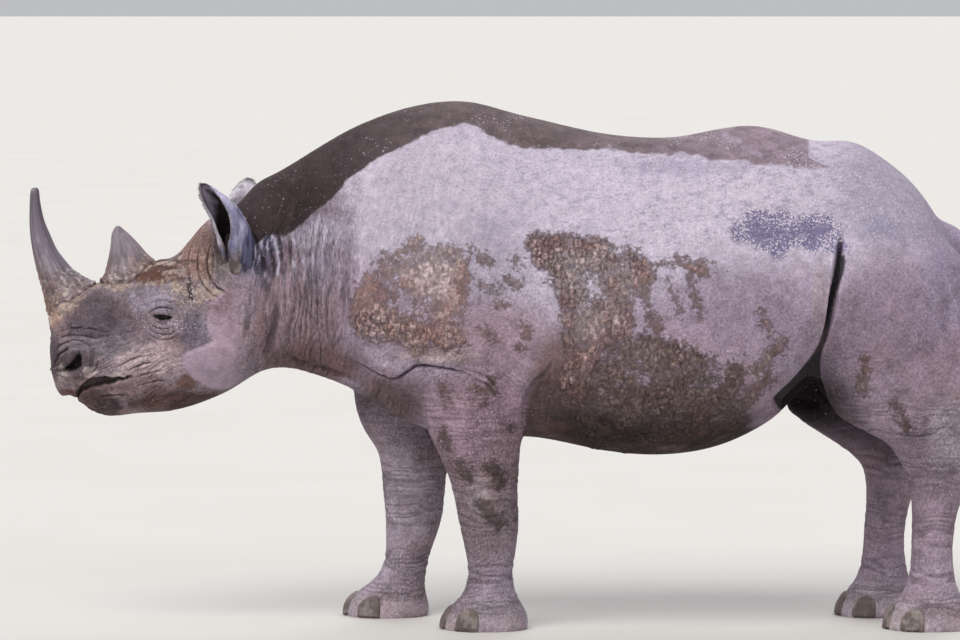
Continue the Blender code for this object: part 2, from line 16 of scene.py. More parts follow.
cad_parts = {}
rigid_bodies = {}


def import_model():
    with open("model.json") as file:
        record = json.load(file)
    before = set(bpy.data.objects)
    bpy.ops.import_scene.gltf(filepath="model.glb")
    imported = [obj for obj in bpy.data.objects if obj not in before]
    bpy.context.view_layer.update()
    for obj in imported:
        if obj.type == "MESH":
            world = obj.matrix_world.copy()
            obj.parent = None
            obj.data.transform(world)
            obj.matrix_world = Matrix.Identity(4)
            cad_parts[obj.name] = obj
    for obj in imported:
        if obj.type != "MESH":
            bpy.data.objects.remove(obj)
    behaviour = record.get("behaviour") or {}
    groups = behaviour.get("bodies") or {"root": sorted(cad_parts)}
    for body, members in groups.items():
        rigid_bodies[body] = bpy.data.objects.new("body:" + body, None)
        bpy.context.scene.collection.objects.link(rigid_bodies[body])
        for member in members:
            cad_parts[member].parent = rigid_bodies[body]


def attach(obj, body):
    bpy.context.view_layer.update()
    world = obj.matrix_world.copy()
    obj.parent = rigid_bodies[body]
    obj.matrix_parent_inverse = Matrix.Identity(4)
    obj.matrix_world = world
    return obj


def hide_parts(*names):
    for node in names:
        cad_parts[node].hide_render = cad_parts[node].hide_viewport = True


# ---------------------------------------------------------------- driving sizes
VOXEL = 0.009  # the size of the remesh that joins the lofts
BODY_SIDES = 72
LEG_SIDES = 48
LEG_SQUARE = 2.2  # how square a leg's rings are: 2 is an ellipse
SHARP_RIDGE = 0.0009  # how far a point on a sharp ridge stands out from its neighbours
ONE_LEVEL = ("SUBSURF", {"levels": 1, "render_levels": 1})


def mm(*numbers, size=2):
    """Whole millimetres, a few in each row, as rows of metres."""
    return tuple(tuple(n / 1000 for n in numbers[k : k + size]) for k in range(0, len(numbers), size))


# Side view of the head, neck and trunk: the top line and the underline, as x and z.
TOP_LINE = mm(
    -1414, 880, -1398, 953, -1340, 1006, -1230, 1040, -1150, 1062, -1100, 1099, -1018, 1134, -979, 1182,
    -933, 1233, -850, 1272, -786, 1342, -706, 1388, -465, 1528, -278, 1589, -162, 1600, 37, 1554,
    327, 1493, 456, 1486, 758, 1521, 924, 1477, 1049, 1471, 1128, 1427, 1278, 1276, 1352, 1138,
    1420, 950, 1436, 890)
UNDER_LINE = mm(
    -1414, 780, -1398, 716, -1342, 700, -1300, 655, -1251, 634, -1150, 640, -1040, 648, -882, 702,
    -749, 776, -557, 745, -310, 610, -186, 570, 62, 570, 310, 525, 433, 516, 681, 563, 789, 622,
    930, 750, 1161, 780, 1385, 800, 1436, 880)
# Top view: half the width at the widest level, as x and y, and that level, as x and z.
HALF_WIDTH = mm(
    -1414, 34, -1398, 72, -1340, 102, -1230, 112, -1084, 143, -1037, 154, -860, 164, -681, 186,
    -557, 212, -433, 250, -310, 292, -186, 326, 186, 383, 433, 418, 580, 424, 789, 402, 1161, 345,
    1312, 275, 1390, 170, 1436, 40)
WIDE_LEVEL = mm(
    -1414, 835, -1300, 810, -1161, 820, -1037, 885, -882, 925, -749, 1000, -557, 1050, -310, 1000,
    -62, 930, 310, 865, 557, 880, 789, 960, 1010, 1050, 1254, 1010, 1436, 885)
# How square the upper and lower halves of a ring are along X, in thousandths: 2000 is an ellipse, less is a
# ridge, more is a box.
SQUARE_TOP = mm(
    -1414, 2600, -1375, 3400, -1290, 3200, -1200, 2700, -1037, 2700, -882, 2200, -681, 1900, -186, 1750,
    310, 1950, 789, 1800, 1084, 1950, 1436, 2000)
SQUARE_UNDER = mm(
    -1414, 2200, -1230, 2100, -1037, 1900, -882, 1900, -681, 2000, -186, 2100, 310, 2300, 789, 2200,
    1436, 2000)

# Legs: z, half its length front to back and half its width. The centre lines are z and x for each leg.
FORELEG = mm(
    -40, 130, 120, 0, 130, 120, 30, 128, 119, 67, 110, 106, 100, 85, 89, 141, 71, 76, 190, 70, 73,
    237, 78, 77, 290, 87, 82, 343, 93, 86, 400, 98, 90, 446, 104, 94, 505, 118, 100, 566, 136, 108,
    620, 150, 116, 690, 164, 126, 746, 186, 137, 820, 215, 148, 900, 210, 150, 1000, 180, 135,
    1060, 120, 100, size=3)
HINDLEG = mm(
    -40, 130, 118, 0, 130, 118, 30, 128, 117, 73, 109, 102, 110, 86, 84, 150, 72, 74, 200, 66, 69,
    287, 65, 68, 364, 72, 72, 430, 88, 79, 480, 99, 86, 520, 110, 93, 569, 130, 106, 613, 178, 122,
    637, 203, 130, 685, 232, 145, 760, 253, 162, 835, 257, 174, 903, 248, 182, 1017, 225, 182,
    1140, 175, 165, 1220, 90, 110, size=3)
LEG_LINES = {
    "foreleg_left": mm(
        0, -84, 49, -78, 92, -71, 177, -66, 284, -68, 388, -79, 505, -95, 566, -108, 690, -120,
        870, -110, 1060, -90),
    "foreleg_right": mm(
        0, -388, 67, -376, 107, -350, 141, -334, 197, -321, 302, -304, 440, -302, 505, -296, 566, -318,
        677, -329, 870, -240, 1060, -140),
    "hindleg_left": mm(
        0, 1262, 100, 1272, 287, 1276, 364, 1283, 430, 1292, 480, 1286, 569, 1258, 637, 1203, 760, 1192,
        903, 1194, 1017, 1190, 1220, 1170),
    "hindleg_right": mm(
        0, 1140, 100, 1152, 287, 1160, 364, 1172, 430, 1184, 467, 1183, 520, 1136, 569, 1080, 623, 1062,
        685, 1066, 760, 1095, 903, 1150, 1017, 1175, 1220, 1170),
}
# How far each leg's line is from the middle plane, as z and y.
LEG_STANCE = mm(0, 182, 379, 184, 746, 200, 1000, 190, 1220, 150)
SIDE = {"left": -1.0, "right": 1.0}

EYE = Vector((-1.061, 0.132, 0.946))
EYE_RADIUS = 0.024

# Horns: rings from the base to the tip, each as its front x and z, its back x and z and half its width.
HORN_FRONT = mm(
    -1375, 930, -1285, 990, 58, -1420, 944, -1274, 1040, 76, -1432, 985, -1288, 1050, 76,
    -1441, 1025, -1315, 1066, 66, -1452, 1068, -1345, 1085, 55, -1462, 1110, -1370, 1113, 47,
    -1469, 1145, -1394, 1146, 40, -1475, 1190, -1414, 1190, 32, -1477, 1235, -1432, 1235, 24,
    -1476, 1287, -1443, 1287, 17, -1473, 1322, -1447, 1323, 13, -1467, 1332, -1453, 1333, 7, size=5)
HORN_REAR = mm(
    -1235, 1000, -1100, 1040, 45, -1262, 1044, -1078, 1090, 62, -1252, 1062, -1095, 1112, 55,
    -1243, 1089, -1118, 1132, 46, -1234, 1125, -1140, 1157, 36, -1228, 1160, -1158, 1176, 28,
    -1225, 1190, -1175, 1193, 20, -1216, 1210, -1190, 1206, 11, -1208, 1216, -1198, 1214, 5, size=5)
# Ears: the middle of the root, the tip and the way the cup opens, for the left side of the animal.
EARS = {
    "left": (Vector((-0.822, -0.13, 1.1)), Vector((-0.93, -0.215, 1.352)), Vector((-0.8, -0.6, 0.0))),
    "right": (Vector((-0.862, 0.125, 1.095)), Vector((-0.812, 0.205, 1.354)), Vector((-0.2, 0.95, 0.0))),
}
# Along the ear: (share of its length, half its width, half its depth, half the opening in degrees, wall).
EAR_SHAPE = (
    (0.0, 0.054, 0.052, 6, 0.034), (0.15, 0.058, 0.054, 8, 0.024), (0.3, 0.062, 0.052, 20, 0.016),
    (0.45, 0.063, 0.047, 44, 0.011), (0.6, 0.059, 0.039, 60, 0.009), (0.75, 0.05, 0.029, 68, 0.008),
    (0.88, 0.034, 0.018, 74, 0.007), (0.96, 0.018, 0.01, 78, 0.006), (1.0, 0.007, 0.005, 80, 0.004),
)
# Tail: x, z and radius from its root to its end.
TAIL = mm(
    1260, 1200, 46, 1330, 1185, 42, 1400, 1130, 35, 1445, 1050, 29, 1470, 940, 24, 1478, 820, 20,
    1478, 700, 16, 1476, 610, 13, 1476, 592, 7, size=3)
# Hooves: (direction in degrees from straight ahead, half its width, half its height) of each plate.
HOOVES = {"middle": (0, 0.05, 0.056), "inner": (-62, 0.04, 0.05), "outer": (62, 0.04, 0.05)}
HOOF_THICKNESS = 0.009
HOOF_LIFT = 0.003  # their lower edge above the floor

CENTRE_X = 0.0105  # the shape's own middle in X, moved to X = 0 at the end

# Lumps raise or lower the skin: centre, reach along each axis and height in each row. They are mirrored.
LUMPS = mm(
    -1058, 150, 990, 80, 80, 36, 14,  # brow
    -1050, 160, 900, 90, 80, 38, 8,  # cheekbone under the eye
    -1062, 160, 946, 45, 60, 24, -10,  # eye socket
    -940, 160, 905, 110, 80, 45, 8,  # cheekbone's arch
    -872, 160, 815, 135, 110, 120, 22,  # chewing muscle
    -1175, 120, 900, 100, 80, 90, -10,  # hollow of the face
    -1330, 100, 800, 60, 70, 60, 12,  # nostril's wing
    -1240, 90, 665, 90, 70, 45, 8,  # lower lip
    -830, 140, 1090, 90, 80, 90, 14,  # root of the ear
    -150, 300, 1180, 260, 260, 380, 14,  # shoulder blade
    -60, 340, 900, 260, 240, 230, 20,  # upper arm
    190, 380, 1080, 130, 200, 340, -10,  # hollow behind the shoulder
    800, 260, 1370, 160, 200, 130, 14,  # point of the hip
    665, 340, 1290, 140, 200, 130, -10,  # hollow of the loin
    1120, 330, 1120, 220, 220, 250, 12,  # muscle of the rump
    1060, 360, 780, 170, 180, 180, 10,  # knee
    880, 360, 950, 100, 200, 220, 14,  # fold of the flank
    size=7)
FLANK_GROOVE = {
    "left": mm(988, 1225, 979, 1170, 970, 1100, 960, 1030, 949, 955, 930, 885),
    "right": mm(988, 1225, 977, 1170, 966, 1100, 950, 1030, 930, 955, 900, 885),
}
GROOVE_SHAPE = (0.02, 0.044, (0.075, 0.01), (0.05, 0.0))  # as in the rows of FOLDS
# Below the groove the flank stands off the thigh and a dark wedge opens, as an outline in the side view.
FLANK_GAP = mm(
    946, 925, 926, 868, 890, 825, 841, 768, 776, 690, 860, 640, 960, 650, 944, 714, 933, 789, 938, 868)
GAP_DEPTH = 0.024
# All that lies in shadow there: the fold, the groin and the inner side of the far thigh.
GROIN = mm(
    972, 1150, 957, 1029, 937, 940, 910, 866, 868, 801, 828, 746, 796, 700, 835, 640, 905, 600, 985, 640,
    949, 712, 932, 772, 935, 861, 949, 920, 972, 1029, 982, 1150)
MOUTH_LINE = mm(-1150, 762, -1175, 757, -1213, 751, -1253, 748, -1292, 736, -1316, 716, -1330, 696)
MOUTH_DEPTH = 0.022
NOSTRIL = (-1.338, 0.79)
NOSTRIL_TURN = 38  # degrees that its long axis rises to the rear
NOSTRIL_RIM, NOSTRIL_DEPTH = 0.0085, 0.03
COLLARS = ((HORN_FRONT, 0.009), (HORN_REAR, 0.008))  # the skin round each horn's base, and its height
CHEEK_RISE = 0.0055
PEBBLE_SIZE, PEBBLE_DEPTH = 0.0115, 0.0014  # of the raised cells of the skin

# The rear edge of the upper arm, where it stands off the belly.
ELBOW = mm(118, 840, 109, 806, 64, 758, 41, 717, 34, 682, 32, 621)
# Folds of the skin in the side view: route as (x, z), half the groove's width, its depth, the roll's width
# and height on the upper side and on the lower side, and, where they aren't the usual ones, how uneven the
# line is, how much dirt and painted shade lies in it and which side has it.
FOLDS = (
    # over the foreleg: a deep line with a thick roll above it
    (mm(-500, 822, -454, 800, -403, 776, -356, 762, -322, 782, -287, 806, -230, 806, -155, 792, -98, 772),
     0.0065, 0.014, (0.036, 0.015), (0.03, 0.004), 0.25, 0.7),
    # elbow: the belly goes in behind the arm
    (ELBOW, 0.016, 0.009, (0.05, 0.013), (0.034, -0.005), 0.05, 0.3),
    # behind the ear, from its root down the neck
    (mm(-790, 1210, -771, 1162, -757, 1118, -749, 1070),
     0.009, 0.01, (0.016, 0.006), (0.014, 0.004), 0.2, 1.0),
    (mm(-806, 1183, -792, 1146, -779, 1108, -773, 1066),
     0.008, 0.008, (0.014, 0.005), (0.013, 0.004), 0.2, 1.0),
    (mm(-741, 1190, -730, 1146, -722, 1108, -719, 1060),
     0.009, 0.009, (0.016, 0.006), (0.014, 0.004), 0.2, 1.0),
    (mm(-822, 1151, -814, 1113, -809, 1070), 0.008, 0.007, (0.014, 0.005), (0.013, 0.004), 0.2, 1.0),
    (mm(-714, 1215, -703, 1160, -697, 1100), 0.008, 0.008, (0.014, 0.005), (0.014, 0.004), 0.2, 1.0),
    (mm(-680, 1200, -672, 1150, -668, 1090), 0.008, 0.007, (0.014, 0.005), (0.014, 0.004), 0.2, 1.0),
    # break between neck and shoulder
    (mm(-470, 1420, -474, 1304, -483, 1123, -489, 943, -460, 830),
     0.034, 0.007, (0.06, 0.003), (0.06, 0.006)),
    # behind the jaw
    (mm(-775, 1110, -745, 1040, -722, 960, -735, 870, -769, 793),
     0.026, 0.01, (0.04, 0.004), (0.04, 0.003)),
    # throat: a fold that follows the underline of the neck
    (mm(-700, 835, -630, 800, -560, 782, -500, 760, -450, 722),
     0.012, 0.009, (0.03, 0.006), (0.03, 0.006), 0.3, 0.5),
    # breast, from the throat down between the legs
    (mm(-405, 640, -370, 590, -335, 550, -285, 501),
     0.01, 0.014, (0.026, 0.006), (0.026, 0.003), 0.3, 1.0, "right"),
    # creases at the elbow
    (mm(-150, 800, -105, 790, -70, 770, -45, 735), 0.005, 0.004, (0.014, 0.003), (0.012, 0.002), 0.5, 0.6),
    (mm(-120, 772, -90, 762, -66, 745, -52, 722), 0.005, 0.003, (0.012, 0.003), (0.012, 0.002), 0.5, 0.6),
    # knee and the inner edge of the thigh
    (mm(905, 800, 925, 740, 965, 680, 1020, 640), 0.01, 0.006, (0.024, 0.004), (0.024, 0.004)),
    (mm(1120, 625, 1180, 600, 1250, 600, 1330, 640), 0.01, 0.003, (0.024, 0.005), (0.02, 0.003), 0.6),
    # buttock
    (mm(1250, 1120, 1290, 1000, 1320, 880, 1330, 770), 0.034, 0.007, (0.06, 0.004), (0.06, 0.002)),
)
# The smooth plate over the chewing muscle, as an outline in the side view.
CHEEK = mm(
    -860, 1034, -893, 1015, -920, 978, -928, 940, -922, 902, -912, 877, -947, 856, -985, 842, -1006, 826,
    -1004, 799, -985, 766, -958, 744, -920, 723, -871, 717, -828, 750, -795, 788, -784, 831, -795, 885,
    -806, 934, -795, 978, -795, 1015, -822, 1037)
# Folds of the head, finer: the same rows.
HEAD_FOLDS = (
    # above the upper lid, two arcs
    (mm(-1106, 950, -1090, 966, -1063, 974, -1034, 968, -1016, 950),
     0.0045, 0.0045, (0.012, 0.003), (0.008, 0.002)),
    (mm(-1120, 962, -1098, 986, -1062, 996, -1026, 986, -1003, 962),
     0.005, 0.003, (0.012, 0.002), (0.008, 0.002)),
    # beneath the eye, arcs
    (mm(-1104, 936, -1090, 918, -1062, 909, -1032, 915, -1014, 932),
     0.0045, 0.0045, (0.009, 0.002), (0.009, 0.002)),
    (mm(-1112, 924, -1094, 902, -1062, 892, -1028, 899, -1006, 918),
     0.0045, 0.004, (0.009, 0.002), (0.009, 0.002)),
    (mm(-1116, 908, -1094, 886, -1062, 876, -1026, 884, -1000, 902),
     0.005, 0.0035, (0.009, 0.002), (0.009, 0.002)),
    # in front of the nostril and round its wing
    (mm(-1300, 846, -1345, 848, -1384, 822, -1396, 780, -1388, 738, -1366, 710),
     0.0055, 0.006, (0.012, 0.003), (0.012, 0.004)),
    (mm(-1285, 868, -1340, 868, -1384, 850, -1408, 812), 0.005, 0.0048, (0.012, 0.003), (0.012, 0.003)),
    (mm(-1268, 822, -1262, 800, -1272, 778, -1292, 764), 0.005, 0.0048, (0.012, 0.003), (0.012, 0.003)),
    # across the snout
    (mm(-1245, 872, -1300, 884, -1352, 886, -1395, 868), 0.0048, 0.004, (0.012, 0.003), (0.012, 0.003)),
    (mm(-1215, 888, -1275, 905, -1340, 908, -1398, 890), 0.0046, 0.0034, (0.012, 0.002), (0.012, 0.002)),
    # up from the corner of the mouth
    (mm(-1190, 762, -1160, 785, -1125, 800, -1080, 806), 0.005, 0.0048, (0.014, 0.004), (0.01, 0.002)),
    (mm(-1215, 778, -1180, 802, -1140, 820, -1090, 830), 0.0048, 0.004, (0.012, 0.003), (0.01, 0.002)),
    (mm(-1160, 748, -1130, 765, -1095, 776, -1050, 782), 0.0048, 0.004, (0.012, 0.003), (0.01, 0.002)),
    (mm(-1160, 722, -1125, 738, -1080, 748, -1030, 750), 0.0046, 0.0034, (0.012, 0.003), (0.01, 0.002)),
    # chin
    (mm(-1275, 688, -1240, 700, -1200, 704, -1150, 700), 0.0048, 0.004, (0.012, 0.003), (0.012, 0.002)),
    # round the front of the ear's root
    (mm(-905, 1185, -925, 1130, -918, 1070, -885, 1028, -840, 1012),
     0.0055, 0.0065, (0.014, 0.005), (0.014, 0.004)),
    (mm(-935, 1190, -955, 1130, -948, 1065, -915, 1018, -870, 992),
     0.005, 0.0048, (0.014, 0.004), (0.014, 0.003)),
    (mm(-965, 1185, -985, 1125, -978, 1060, -950, 1010), 0.0048, 0.004, (0.014, 0.003), (0.014, 0.003)),
)
# Fine wrinkles: centre, reach, direction they run in the side view in degrees from straight back,
# spacing, length, depth and how wide each line is as a share of the spacing.
WRINKLES = (
    ("neck", (-0.62, 0.0, 1.06), (0.18, 0.6, 0.33), 86, 0.015, 0.21, 0.005, 0.36),
    ("nape", (-0.64, 0.0, 1.23), (0.13, 0.6, 0.15), 78, 0.02, 0.17, 0.006, 0.34),
    ("neck low", (-0.6, 0.0, 0.84), (0.19, 0.6, 0.12), 70, 0.018, 0.11, 0.0042, 0.4),
    ("behind ear", (-0.745, 0.0, 1.11), (0.07, 0.6, 0.14), 76, 0.016, 0.13, 0.0062, 0.4),
    ("behind jaw", (-0.76, 0.0, 0.92), (0.09, 0.6, 0.2), 80, 0.013, 0.12, 0.0032, 0.4),
    ("breast", (-0.4, 0.0, 0.69), (0.14, 0.5, 0.13), 75, 0.014, 0.11, 0.0036, 0.4),
    ("shoulder", (-0.24, 0.0, 1.12), (0.3, 0.6, 0.33), 84, 0.016, 0.08, 0.0014, 0.45),
    ("roll over the leg", (-0.23, 0.0, 0.835), (0.2, 0.6, 0.055), 12, 0.013, 0.09, 0.0032, 0.45),
    ("armpit", (-0.02, 0.0, 0.76), (0.11, 0.6, 0.11), 138, 0.01, 0.08, 0.0034, 0.45),
    ("behind elbow", (0.13, 0.0, 0.74), (0.11, 0.6, 0.15), 80, 0.014, 0.12, 0.0024, 0.4),
    ("flank", (0.84, 0.0, 0.9), (0.13, 0.6, 0.2), 64, 0.02, 0.18, 0.0013, 0.4),
    ("snout", (-1.3, 0.0, 0.886), (0.15, 0.3, 0.062), 3, 0.0105, 0.08, 0.0042, 0.46),
    ("snout front", (-1.39, 0.0, 0.8), (0.06, 0.3, 0.11), 80, 0.0105, 0.07, 0.0034, 0.46),
    ("snout side", (-1.2, 0.0, 0.846), (0.1, 0.3, 0.055), 18, 0.01, 0.07, 0.0042, 0.46),
    ("lip", (-1.25, 0.0, 0.785), (0.1, 0.3, 0.05), 26, 0.01, 0.065, 0.004, 0.46),
    ("cheek front", (-1.11, 0.0, 0.795), (0.14, 0.3, 0.085), 31, 0.011, 0.11, 0.0042, 0.44),
    ("jaw", (-1.1, 0.0, 0.71), (0.19, 0.3, 0.075), 25, 0.011, 0.09, 0.0036, 0.46),
    ("chin", (-1.27, 0.0, 0.665), (0.08, 0.3, 0.065), 10, 0.0095, 0.045, 0.0034, 0.46),
    ("over the brow", (-1.07, 0.0, 1.02), (0.12, 0.3, 0.045), 4, 0.01, 0.05, 0.0026, 0.46),
    ("brow", (-0.98, 0.0, 1.02), (0.1, 0.3, 0.09), 60, 0.01, 0.06, 0.0032, 0.46),
    ("temple", (-0.985, 0.0, 0.92), (0.06, 0.3, 0.08), 100, 0.01, 0.05, 0.0028, 0.46),
    ("face", (-1.17, 0.0, 0.95), (0.11, 0.3, 0.08), 40, 0.011, 0.04, 0.002, 0.46),
    ("ear root", (-0.915, 0.0, 1.125), (0.085, 0.3, 0.115), 97, 0.011, 0.11, 0.005, 0.44),
    ("thigh", (1.12, 0.0, 0.88), (0.24, 0.6, 0.26), 60, 0.018, 0.07, 0.0012, 0.45),
)
# Rings of wrinkles round the legs: leg kind, height, reach, spacing and depth.
LEG_WRINKLES = (
    ("foreleg", 0.64, 0.18, 0.011, 0.001), ("foreleg", 0.44, 0.12, 0.012, 0.0022),
    ("foreleg", 0.33, 0.1, 0.013, 0.002), ("foreleg", 0.17, 0.07, 0.013, 0.0034),
    ("foreleg", 0.085, 0.04, 0.01, 0.0022),
    ("hindleg", 0.64, 0.13, 0.013, 0.0018), ("hindleg", 0.48, 0.09, 0.012, 0.0026),
    ("hindleg", 0.3, 0.12, 0.014, 0.0018), ("hindleg", 0.16, 0.06, 0.013, 0.0032),
    ("hindleg", 0.085, 0.04, 0.01, 0.0022),
)


# ---------------------------------------------------------------- helpers
def curve(keys):
    """A smooth function through (place, value) keys, with the slope at each key from its neighbours."""
    place, value = (np.array(column, float) for column in zip(*keys))
    slope = np.gradient(value, place)

    def at(t):
        t = np.clip(t, place[0], place[-1])
        i = np.clip(np.searchsorted(place, t) - 1, 0, len(place) - 2)
        width = place[i + 1] - place[i]
        u = (t - place[i]) / width
        return (
            value[i] * (1 + 2 * u) * (1 - u) ** 2
            + value[i + 1] * u**2 * (3 - 2 * u)
            + slope[i] * width * u * (1 - u) ** 2
            - slope[i + 1] * width * u**2 * (1 - u)
        )

    return at


def add_object(name, data):
    """A new object in the scene."""
    obj = bpy.data.objects.new(name, data)
    bpy.context.scene.collection.objects.link(obj)
    return obj


def mesh_from(bm, name):
    bmesh.ops.recalc_face_normals(bm, faces=bm.faces)
    mesh = bpy.data.meshes.new(name)
    bm.to_mesh(mesh)
    bm.free()
    return mesh


def solid_mesh(name, points, faces, merge=None):
    """A mesh whose faces all look outwards; points closer together than merge become one."""
    mesh = bpy.data.meshes.new(name)
    mesh.from_pydata(points, [], faces)
    bm = bmesh.new()
    bm.from_mesh(mesh)
    bpy.data.meshes.remove(mesh)
    if merge:
        bmesh.ops.remove_doubles(bm, verts=bm.verts, dist=merge)
    return mesh_from(bm, name)


def grid_mesh(name, rings):
    """A mesh through rings of the same number of points, with a flat cap on each end."""
    rings = np.asarray(rings, float)
    count, sides = rings.shape[:2]
    faces = []
    for k in range(count - 1):
        for i in range(sides):
            j = (i + 1) % sides
            faces.append((k * sides + i, k * sides + j, (k + 1) * sides + j, (k + 1) * sides + i))
    faces.append(tuple(range(sides)))
    faces.append(tuple(range((count - 1) * sides, count * sides)))
    return solid_mesh(name, rings.reshape(-1, 3).tolist(), faces)


def superellipse(angle, square):
    """(sideways, upwards) on a unit superellipse, from the top round to the right."""
    power = 2.0 / square
    s, c = math.sin(angle), math.cos(angle)
    return math.copysign(abs(s) ** power, s), math.copysign(abs(c) ** power, c)


def applied(obj):
    """The object's mesh with its modifiers in it; the object is removed."""
    graph = bpy.context.evaluated_depsgraph_get()
    mesh = bpy.data.meshes.new_from_object(obj.evaluated_get(graph))
    bpy.data.objects.remove(obj)
    return mesh


def with_modifiers(mesh, *settings):
    """The mesh after modifiers, each given as (type, values)."""
    obj = add_object("working", mesh)
    for kind, values in settings:
        modifier = obj.modifiers.new(kind, kind)
        for key, value in values.items():
            setattr(modifier, key, value)
    return applied(obj)


def joined(meshes):
    bm = bmesh.new()
    for mesh in meshes:
        bm.from_mesh(mesh)
    mesh = bpy.data.meshes.new("joined")
    bm.to_mesh(mesh)
    bm.free()
    return mesh


def read(rows, field, width=1, kind=np.int32):
    """One field of all of a mesh's points, edges, corners or faces."""
    found = np.empty(len(rows) * width, kind)
    rows.foreach_get(field, found)
    return found.reshape(-1, width) if width > 1 else found


def points_of(mesh):
    return read(mesh.vertices, "co", 3, float)


def normals_of(mesh):
    return read(mesh.vertex_normals, "vector", 3, float)


def set_points(mesh, points):
    mesh.vertices.foreach_set("co", np.ascontiguousarray(points, np.float32).ravel())
    mesh.update()


def give_attributes(mesh, **values):
    """Keeps named values at the mesh's points: colours as rows of three, and plain numbers."""
    for name, value in values.items():
        kind, field = "FLOAT", "value"
        if value.ndim == 2:
            kind, field = "FLOAT_COLOR", "color"
            value = np.column_stack([value, np.ones(len(value))])
        made = mesh.attributes.new(name, kind, "POINT")
        made.data.foreach_set(field, np.asarray(value, np.float32).ravel())


def bell(distance):
    """1 at the middle, falling smoothly to 0 at distance 1."""
    return np.clip(1 - distance**2, 0, 1) ** 2


def ramp(values, low, high):
    """0 below low, 1 above high, smooth between."""
    t = np.clip((values - low) / (high - low), 0, 1)
    return t * t * (3 - 2 * t)


def neighbour_mean(values, edges, rounds=1):
    """Each point's mean of its neighbours, over and over."""
    count = np.bincount(edges.ravel(), minlength=len(values)).clip(1)
    for _ in range(rounds):
        total = np.bincount(edges[:, 0], values[edges[:, 1]], len(values))
        total += np.bincount(edges[:, 1], values[edges[:, 0]], len(values))
        values = total / count
    return values


def mean_places(points, edges, rounds=1):
    """The same mean for each axis of rows of three."""
    return np.column_stack([neighbour_mean(points[:, k], edges, rounds) for k in range(3)])


# ---------------------------------------------------------------- noise
LATTICE = 64  # cells along each side of the table of random values
tables = {}


def lattice(seed):
    if seed not in tables:
        tables[seed] = np.random.default_rng(seed).random((LATTICE,) * 3, dtype=np.float32)
    return tables[seed]


def noise(points, size, seed):
    """A smooth value from 0 to 1 at each point, changing over a size, which can differ for each axis."""
    place = points / np.asarray(size, float) + 31.7
    corner = np.floor(place).astype(np.int32)
    part = (place - corner).astype(np.float32)
    part = part * part * (3 - 2 * part)
    table = lattice(seed)
    total = np.zeros(len(points), np.float32)
    for dx in (0, 1):
        for dy in (0, 1):
            for dz in (0, 1):
                x, y, z = ((corner + (dx, dy, dz)) & (LATTICE - 1)).T
                share = (part[:, 0] if dx else 1 - part[:, 0]) * (part[:, 1] if dy else 1 - part[:, 1])
                total += table[x, y, z] * share * (part[:, 2] if dz else 1 - part[:, 2])
    return total


def layers(points, size, seed, count=3, gain=0.5):
    """Noise of several sizes, each half the one before; about -1 to 1, mostly within 0.5."""
    total, sum_of_shares = 0.0, 0.0
    for k in range(count):
        total = total + gain**k * (2 * noise(points, np.asarray(size) / 2**k, seed + k) - 1)
        sum_of_shares += gain**k
    return total / sum_of_shares * 1.6


def layers_where(share, points, size, seed, count=3, gain=0.5):
    """The same noise, worked out only where a share is above 0."""
    total = np.zeros(len(points))
    near = np.flatnonzero(share > 0)
    if len(near):
        total[near] = layers(points[near], size, seed, count, gain)
    return total


def cells(points, size, seed):
    """For each point: the distance to the nearest of many scattered centres and how much further the next one
    is, both in cell sizes, and a value that is the same over one cell."""
    place = points / np.asarray(size, float) + 17.3
    base = np.floor(place).astype(np.int32)
    first = np.full(len(points), 9.0, np.float32)
    second = first.copy()
    value = np.zeros(len(points), np.float32)
    shifts = [lattice(seed + k) for k in range(4)]
    for step in np.ndindex(3, 3, 3):
        corner = base + np.array(step) - 1
        x, y, z = (corner & (LATTICE - 1)).T
        away = [corner[:, k] + 0.15 + 0.7 * shifts[k][x, y, z] - place[:, k] for k in range(3)]
        distance = np.sqrt(away[0] ** 2 + away[1] ** 2 + away[2] ** 2).astype(np.float32)
        closer = distance < first
        second = np.where(closer, first, np.minimum(second, distance))
        value = np.where(closer, shifts[3][x, y, z], value)
        first = np.where(closer, distance, first)
    return first, second - first, value


def lines(values, width):
    """Narrow lines where smooth values cross their middle: 1 on the line, 0 away from it."""
    return np.clip(1 - np.abs(2 * values - 1) / width, 0, 1)


# ---------------------------------------------------------------- routes and outlines in the side view
def smooth_route(route, steps=6):
    """A curve through the route's points, as many short straight steps."""
    line = np.array(route, float)
    place = np.r_[0, np.cumsum(np.linalg.norm(np.diff(line, axis=0), axis=1))]
    fine = np.linspace(0, place[-1], steps * (len(line) - 1) + 1)
    return np.column_stack([curve(list(zip(place, line[:, k])))(fine) for k in (0, 1)])


def beside_route(flat, route, reach):
    """Which 2-D points are within reach of a route; their distance from it, below 0 on its lower or rear
    side, and how far along it they are, from 0 to 1."""
    line = smooth_route(route)
    near = np.flatnonzero(boxed(flat, line, reach))
    at = flat[near]
    best, side, along = np.full(len(near), 9.0), np.zeros(len(near)), np.zeros(len(near))
    for k, (a, b) in enumerate(zip(line, line[1:])):
        run = b - a
        t = np.clip((at - a) @ run / (run @ run), 0, 1)
        away = at - a - t[:, None] * run
        distance = np.hypot(away[:, 0], away[:, 1])
        closer = distance < best
        best = np.where(closer, distance, best)
        side = np.where(closer, np.sign(run[0] * (at[:, 1] - a[1]) - run[1] * (at[:, 0] - a[0])), side)
        along = np.where(closer, (k + t) / (len(line) - 1), along)
    if line[-1, 0] < line[0, 0]:
        side = -side
    return near, best * np.where(side == 0, 1, side), along


def boxed(flat, outline, margin):
    """Which 2-D points lie in the box round an outline, or closer to it than the margin."""
    low, high = np.min(outline, axis=0) - margin, np.max(outline, axis=0) + margin
    return np.all((flat > low) & (flat < high), axis=1)


